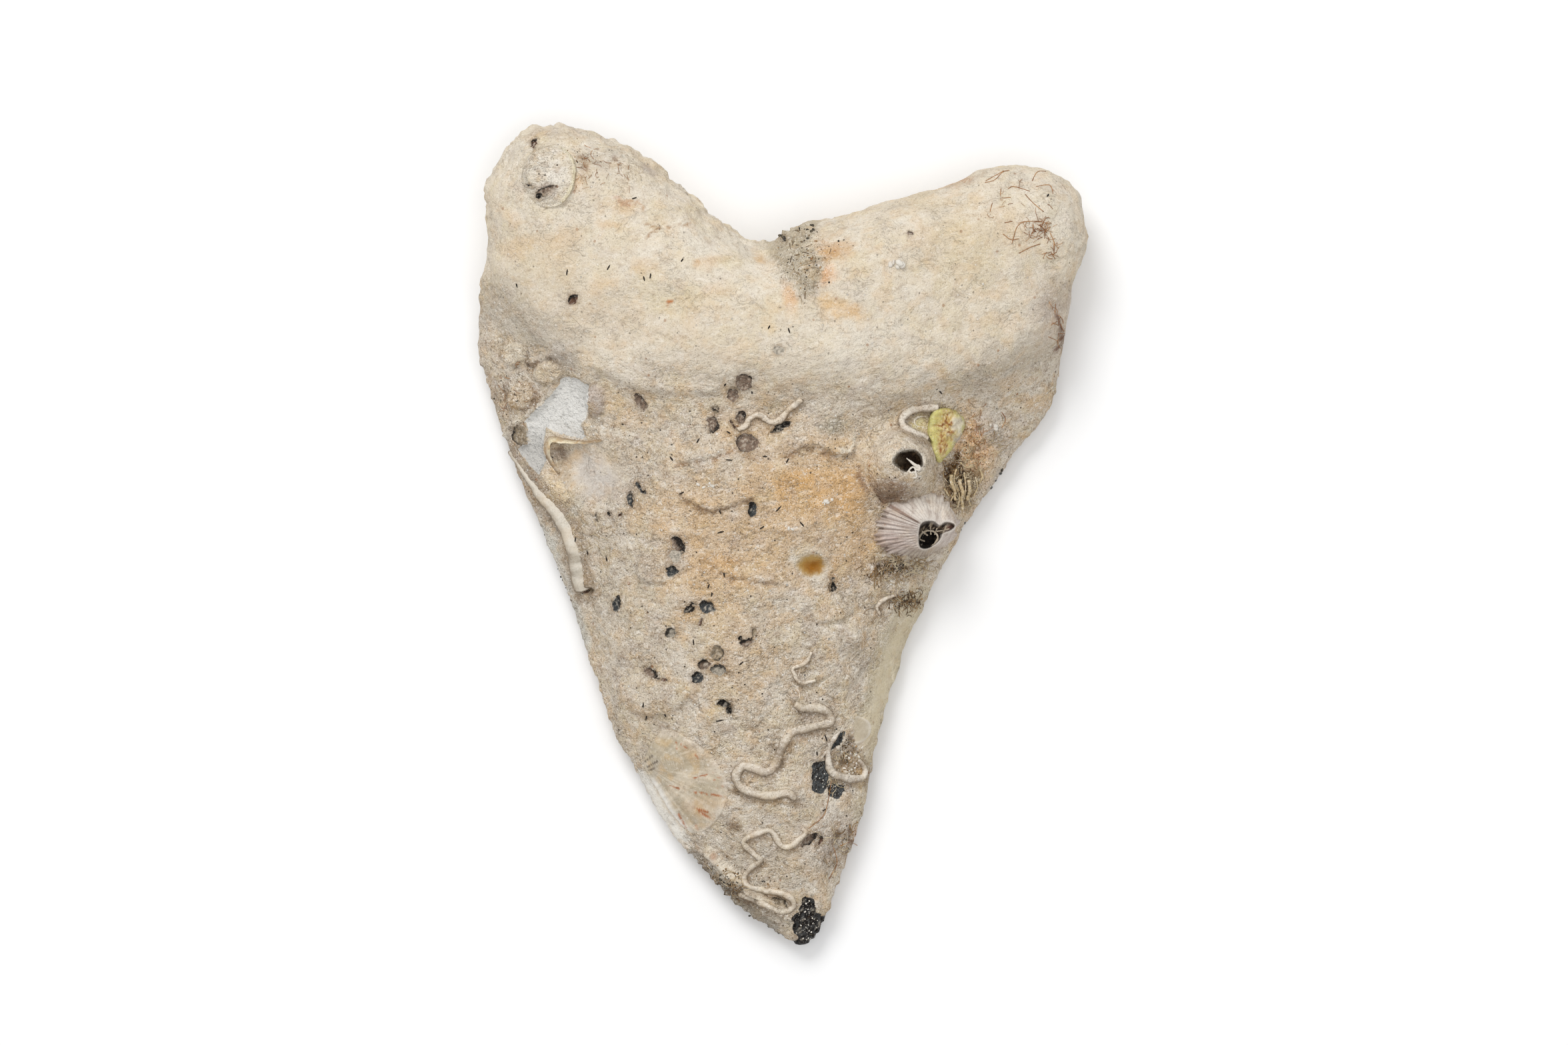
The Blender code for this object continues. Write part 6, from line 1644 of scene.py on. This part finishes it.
def scatter_threads(ground, name, material, random, spots, lift=0.35):
    """Loose threads round some places: each place gives its centre, spread, count, length and radius."""
    paths, radii = [], []
    for x, y, spread_x, spread_y, count, length, radius in spots:
        for _ in range(count):
            start = (x + spread_x * random.normal(), y + spread_y * random.normal())
            path = curl(random, start, random.uniform(0, 2 * math.pi), length * random.uniform(0.5, 1.5), 0.2)
            rise = 0.03 + lift * random.uniform(0, 1) * np.sin(np.linspace(0, math.pi, len(path)))
            heights = ground.heights(path)
            if heights.min() < RIM_OF_CROWN + 1.0:
                continue
            paths.append(np.column_stack([path, heights + rise]))
            radii.append(radius * random.uniform(0.6, 1.2))
    put_in_scene(name, strands(name, paths, radii), material, "worm_tuft")


def make_threads(ground, stems, brown, pale):
    random = np.random.default_rng(11)
    paths = [ground.evened(route, 0.2, 0.05, passes=4) for route in THREADS]
    put_in_scene("long_threads", strands("long_threads", paths, [0.045] * len(paths)), stems, "worm_tuft")
    scatter_threads(ground, "stem_threads", stems, random, (
        (32.6, 37.9, 0.9, 0.8, 34, 1.4, 0.035), (33.8, 35.6, 0.5, 0.7, 14, 0.9, 0.035),
        (30.5, 41.5, 2.5, 2.0, 12, 0.9, 0.03), (34.6, 26.0, 0.4, 1.4, 18, 1.0, 0.045),
        (24.6, 11.6, 0.9, 2.2, 44, 0.8, 0.035), (-24.2, 46.0, 1.2, 1.6, 20, 0.9, 0.03),
        (-34.0, 17.0, 1.4, 2.4, 12, 0.9, 0.035), (-20.0, 45.0, 2.0, 1.2, 12, 0.7, 0.03),
    ))
    scatter_threads(ground, "brown_threads", brown, random, (
        (15.6, -8.2, 1.4, 0.7, 50, 1.2, 0.045), (11.8, -4.9, 0.6, 0.5, 24, 0.8, 0.045), (9.0, -38.0, 0.6, 1.2, 20, 1.0, 0.045),
        (-8.4, -44.2, 2.2, 0.8, 30, 1.0, 0.045), (22.0, 7.0, 0.9, 1.2, 60, 1.0, 0.05), (13.8, -3.9, 1.6, 0.5, 34, 1.0, 0.04),
        (3.4, 35.6, 1.6, 2.2, 12, 0.6, 0.04),
    ))
    scatter_threads(ground, "pale_threads", pale, random, (
        (15.6, -3.6, 2.0, 0.7, 70, 2.0, 0.045), (23.8, 9.4, 1.2, 2.2, 70, 1.2, 0.04), (14.4, -8.0, 1.6, 1.0, 34, 1.6, 0.04),
        (8.4, -28.2, 0.9, 1.2, 34, 1.0, 0.04), (-23.8, 0.4, 1.6, 0.9, 16, 1.4, 0.035), (19.8, 15.6, 1.5, 0.8, 30, 1.0, 0.03),
        (7.6, -39.5, 1.2, 1.6, 24, 1.8, 0.04), (-7.0, -43.6, 2.4, 1.0, 30, 1.4, 0.045), (3.0, 34.0, 1.2, 2.0, 20, 1.0, 0.035),
        (26.4, 12.0, 1.2, 1.6, 30, 1.2, 0.035), (6.6, -31.0, 0.6, 0.4, 12, 1.4, 0.04),
    ))


def studs(name, places, sizes, turns, subdivisions=1, seed=0.0):
    """Small lumps as one mesh: each has its place, its three half sizes and its turn in the plan."""
    bm = bmesh.new()
    for place, size, turn in zip(places, sizes, turns):
        made = bmesh.ops.create_icosphere(bm, subdivisions=subdivisions, radius=1.0)["verts"]
        c, s = math.cos(turn), math.sin(turn)
        for vert in made:
            bump = 1.0 + 0.25 * noise.noise(vert.co * 1.7 + Vector((seed, place[0], place[1])))
            x, y, z = vert.co.x * size[0] * bump, vert.co.y * size[1] * bump, vert.co.z * size[2] * bump
            vert.co = Vector((place[0] + x * c - y * s, place[1] + x * s + y * c, place[2] + z)) * MM
    return mesh_of(name, bm)


def make_slits(ground, dark):
    # Dark studs in the slits: painted shade inside each boring.
    places = [(x, y, ground.height(x, y) + 0.03) for x, y, _, _ in SLITS]
    sizes = [(length / 2, 0.11, 0.06) for _, _, length, _ in SLITS]
    turns = [math.radians(turn) for _, _, _, turn in SLITS]
    put_in_scene("bored_slits", studs("bored_slits", places, sizes, turns), dark, "crusted_tooth")


def make_serrations(ground, enamel):
    """The serrations left free of crust, small worn knobs half sunk in the edge."""
    random = np.random.default_rng(3)
    places, sizes, turns = [], [], []
    for edge, top, bottom, pitch, radius in SERRATED:
        path = spline(edge)
        path = path[(path[:, 1] < top) & (path[:, 1] > bottom)]
        length = np.linalg.norm(np.diff(path, axis=0), axis=1).sum()
        inward = (0.3 + 0.5 * radius) * (1 if edge is LEFT_EDGE else -1)
        for x, y in along(path, np.linspace(0, 1, round(length / pitch))):
            size = radius * random.uniform(0.45, 1.2)
            places.append((x + inward, y + 0.25 * pitch * random.normal(), RIM_OF_CROWN + 0.35))
            sizes.append((size, size * 1.25, size * 1.5))
            turns.append(random.uniform(0, math.pi))
    put_in_scene("serrations", studs("serrations", places, sizes, turns, 2, 5.0), enamel, "crusted_tooth")


def make_crumbs(ground, plates, dark, brown):
    """Loose crumbs: chalky flakes, and dark and brown grains at the tuft, under the ribbed barnacle and on the tip."""
    random = np.random.default_rng(23)
    for name, spots, material, seed in (
        ("chalky_crumbs", CHALKY_CRUMBS, plates, 2.0), ("dark_crumbs", DARK_CRUMBS, dark, 4.0),
        ("brown_crumbs", BROWN_CRUMBS, brown, 6.0),
    ):
        places, sizes, turns = [], [], []
        for x, y, spread_x, spread_y, count, size in spots:
            for _ in range(count):
                px, py = x + spread_x * random.normal(), y + spread_y * random.normal()
                height = ground.height(px, py)
                scale = size * random.uniform(0.5, 1.2)
                if height > RIM_OF_CROWN:
                    places.append((px, py, height + 0.15 * scale))
                    sizes.append((scale, scale * random.uniform(0.4, 0.9), scale * 0.45))
                    turns.append(random.uniform(0, math.pi))
        mesh = studs(name, places, sizes, turns, 2, seed)
        if material is plates:
            put_finish(mesh, plain("#dcd7cd", len(mesh.vertices)), 0.6)
        put_in_scene(name, mesh, material, "crusted_tooth")


def make_camera():
    data = bpy.data.cameras.new("camera")
    data.sensor_width = SENSOR_WIDTH
    data.lens = SENSOR_WIDTH * CAMERA_HEIGHT * PIXELS_PER_MM / PHOTO_SIZE[0]
    camera = bpy.data.objects.new("camera", data)
    camera.location = (
        (PHOTO_SIZE[0] / 2 - ORIGIN_PIXEL[0]) / PIXELS_PER_MM * MM,
        (ORIGIN_PIXEL[1] - PHOTO_SIZE[1] / 2) / PIXELS_PER_MM * MM,
        (CAMERA_HEIGHT + 8.0) * MM,
    )
    bpy.context.scene.collection.objects.link(camera)
    bpy.context.scene.camera = camera


def make_light(name, place, target, size, power):
    data = bpy.data.lights.new(name, "AREA")
    data.shape = "DISK"
    data.size = size
    data.energy = power
    light = bpy.data.objects.new(name, data)
    light.location = place
    light.rotation_mode = "QUATERNION"
    light.rotation_quaternion = (Vector(target) - Vector(place)).to_track_quat("-Z", "Y")
    bpy.context.scene.collection.objects.link(light)


def make_studio():
    """A white table under a soft lamp from the root's side, with a paler one overhead."""
    bm = bmesh.new()
    bmesh.ops.create_grid(bm, x_segments=1, y_segments=1, size=2.0)
    table = bpy.data.objects.new("table_top", mesh_of("table_top", bm))
    bpy.context.scene.collection.objects.link(table)
    material, tree, shader, place = new_material("white_card", 0.9, 0.1)
    shader.inputs["Base Color"].default_value = linear("#f8f8f8")
    table.data.materials.append(material)
    make_light("key_lamp", (-0.22, 0.50, 0.66), (0.0, 0.0, 0.0), 0.42, 3.5)
    make_light("overhead_lamp", (0.1, -0.1, 1.0), (0.0, 0.0, 0.0), 1.0, 3.7)
    world = bpy.data.worlds.new("studio")
    world.use_nodes = True
    world.node_tree.nodes["Background"].inputs["Color"].default_value = (1.0, 1.0, 1.0, 1.0)
    world.node_tree.nodes["Background"].inputs["Strength"].default_value = 0.5
    bpy.context.scene.world = world
    bpy.context.scene.view_settings.view_transform = "Standard"


def main():
    make_camera()
    make_studio()
    crust = crust_material()
    plates = lime_material("barnacle_lime_plate", 0.8, 0.25, 0.55, 0.3)
    shell = lime_material("worm_tube_lime", 0.8, 0.25, 0.8, 0.3)
    valve = lime_material("thin_valve_shell", 0.55, 0.35, 0.6, 0.2)
    sponge = lime_material("dried_yellow_sponge", 0.75, 0.3, 0.6, 0.3)
    brown = spotted_material("dried_hydroid_threads", 0.7, "#4d3722", "#9a7a50", 1.2)
    pale = spotted_material("lime_dusted_threads", 0.8, "#9c8464", "#dccdae", 0.9)
    grit = spotted_material("dark_grit", 0.85, "#2f2c27", "#6b6252", 0.3)
    ground = make_tooth(crust)
    make_round_barnacle(ground, crust)
    make_round_inside(ground, plates)
    make_ribbed_barnacle(ground, plates)
    make_low_barnacle(ground, crust)
    make_tubes(ground, shell)
    make_yellow_growth(ground, sponge)
    make_fan_shell(ground, valve)
    make_oyster(ground, shell)
    make_saddle_shell(ground, valve)
    make_tuft(ground, pale, shell)
    make_threads(ground, spotted_material("dried_hydroid_stems", 0.7, "#8a5a35", "#bb8d5f", 1.2), brown, pale)
    make_slits(ground, spotted_material("shadowed_boring", 0.9, "#1d1916", "#3a322a", 0.4))
    make_serrations(ground, spotted_material("black_enamel", 0.4, "#3a3b39", "#77736a", 0.3))
    make_crumbs(ground, plates, grit, spotted_material("brown_detritus", 0.9, "#5a432c", "#a98a62", 0.4))


main()
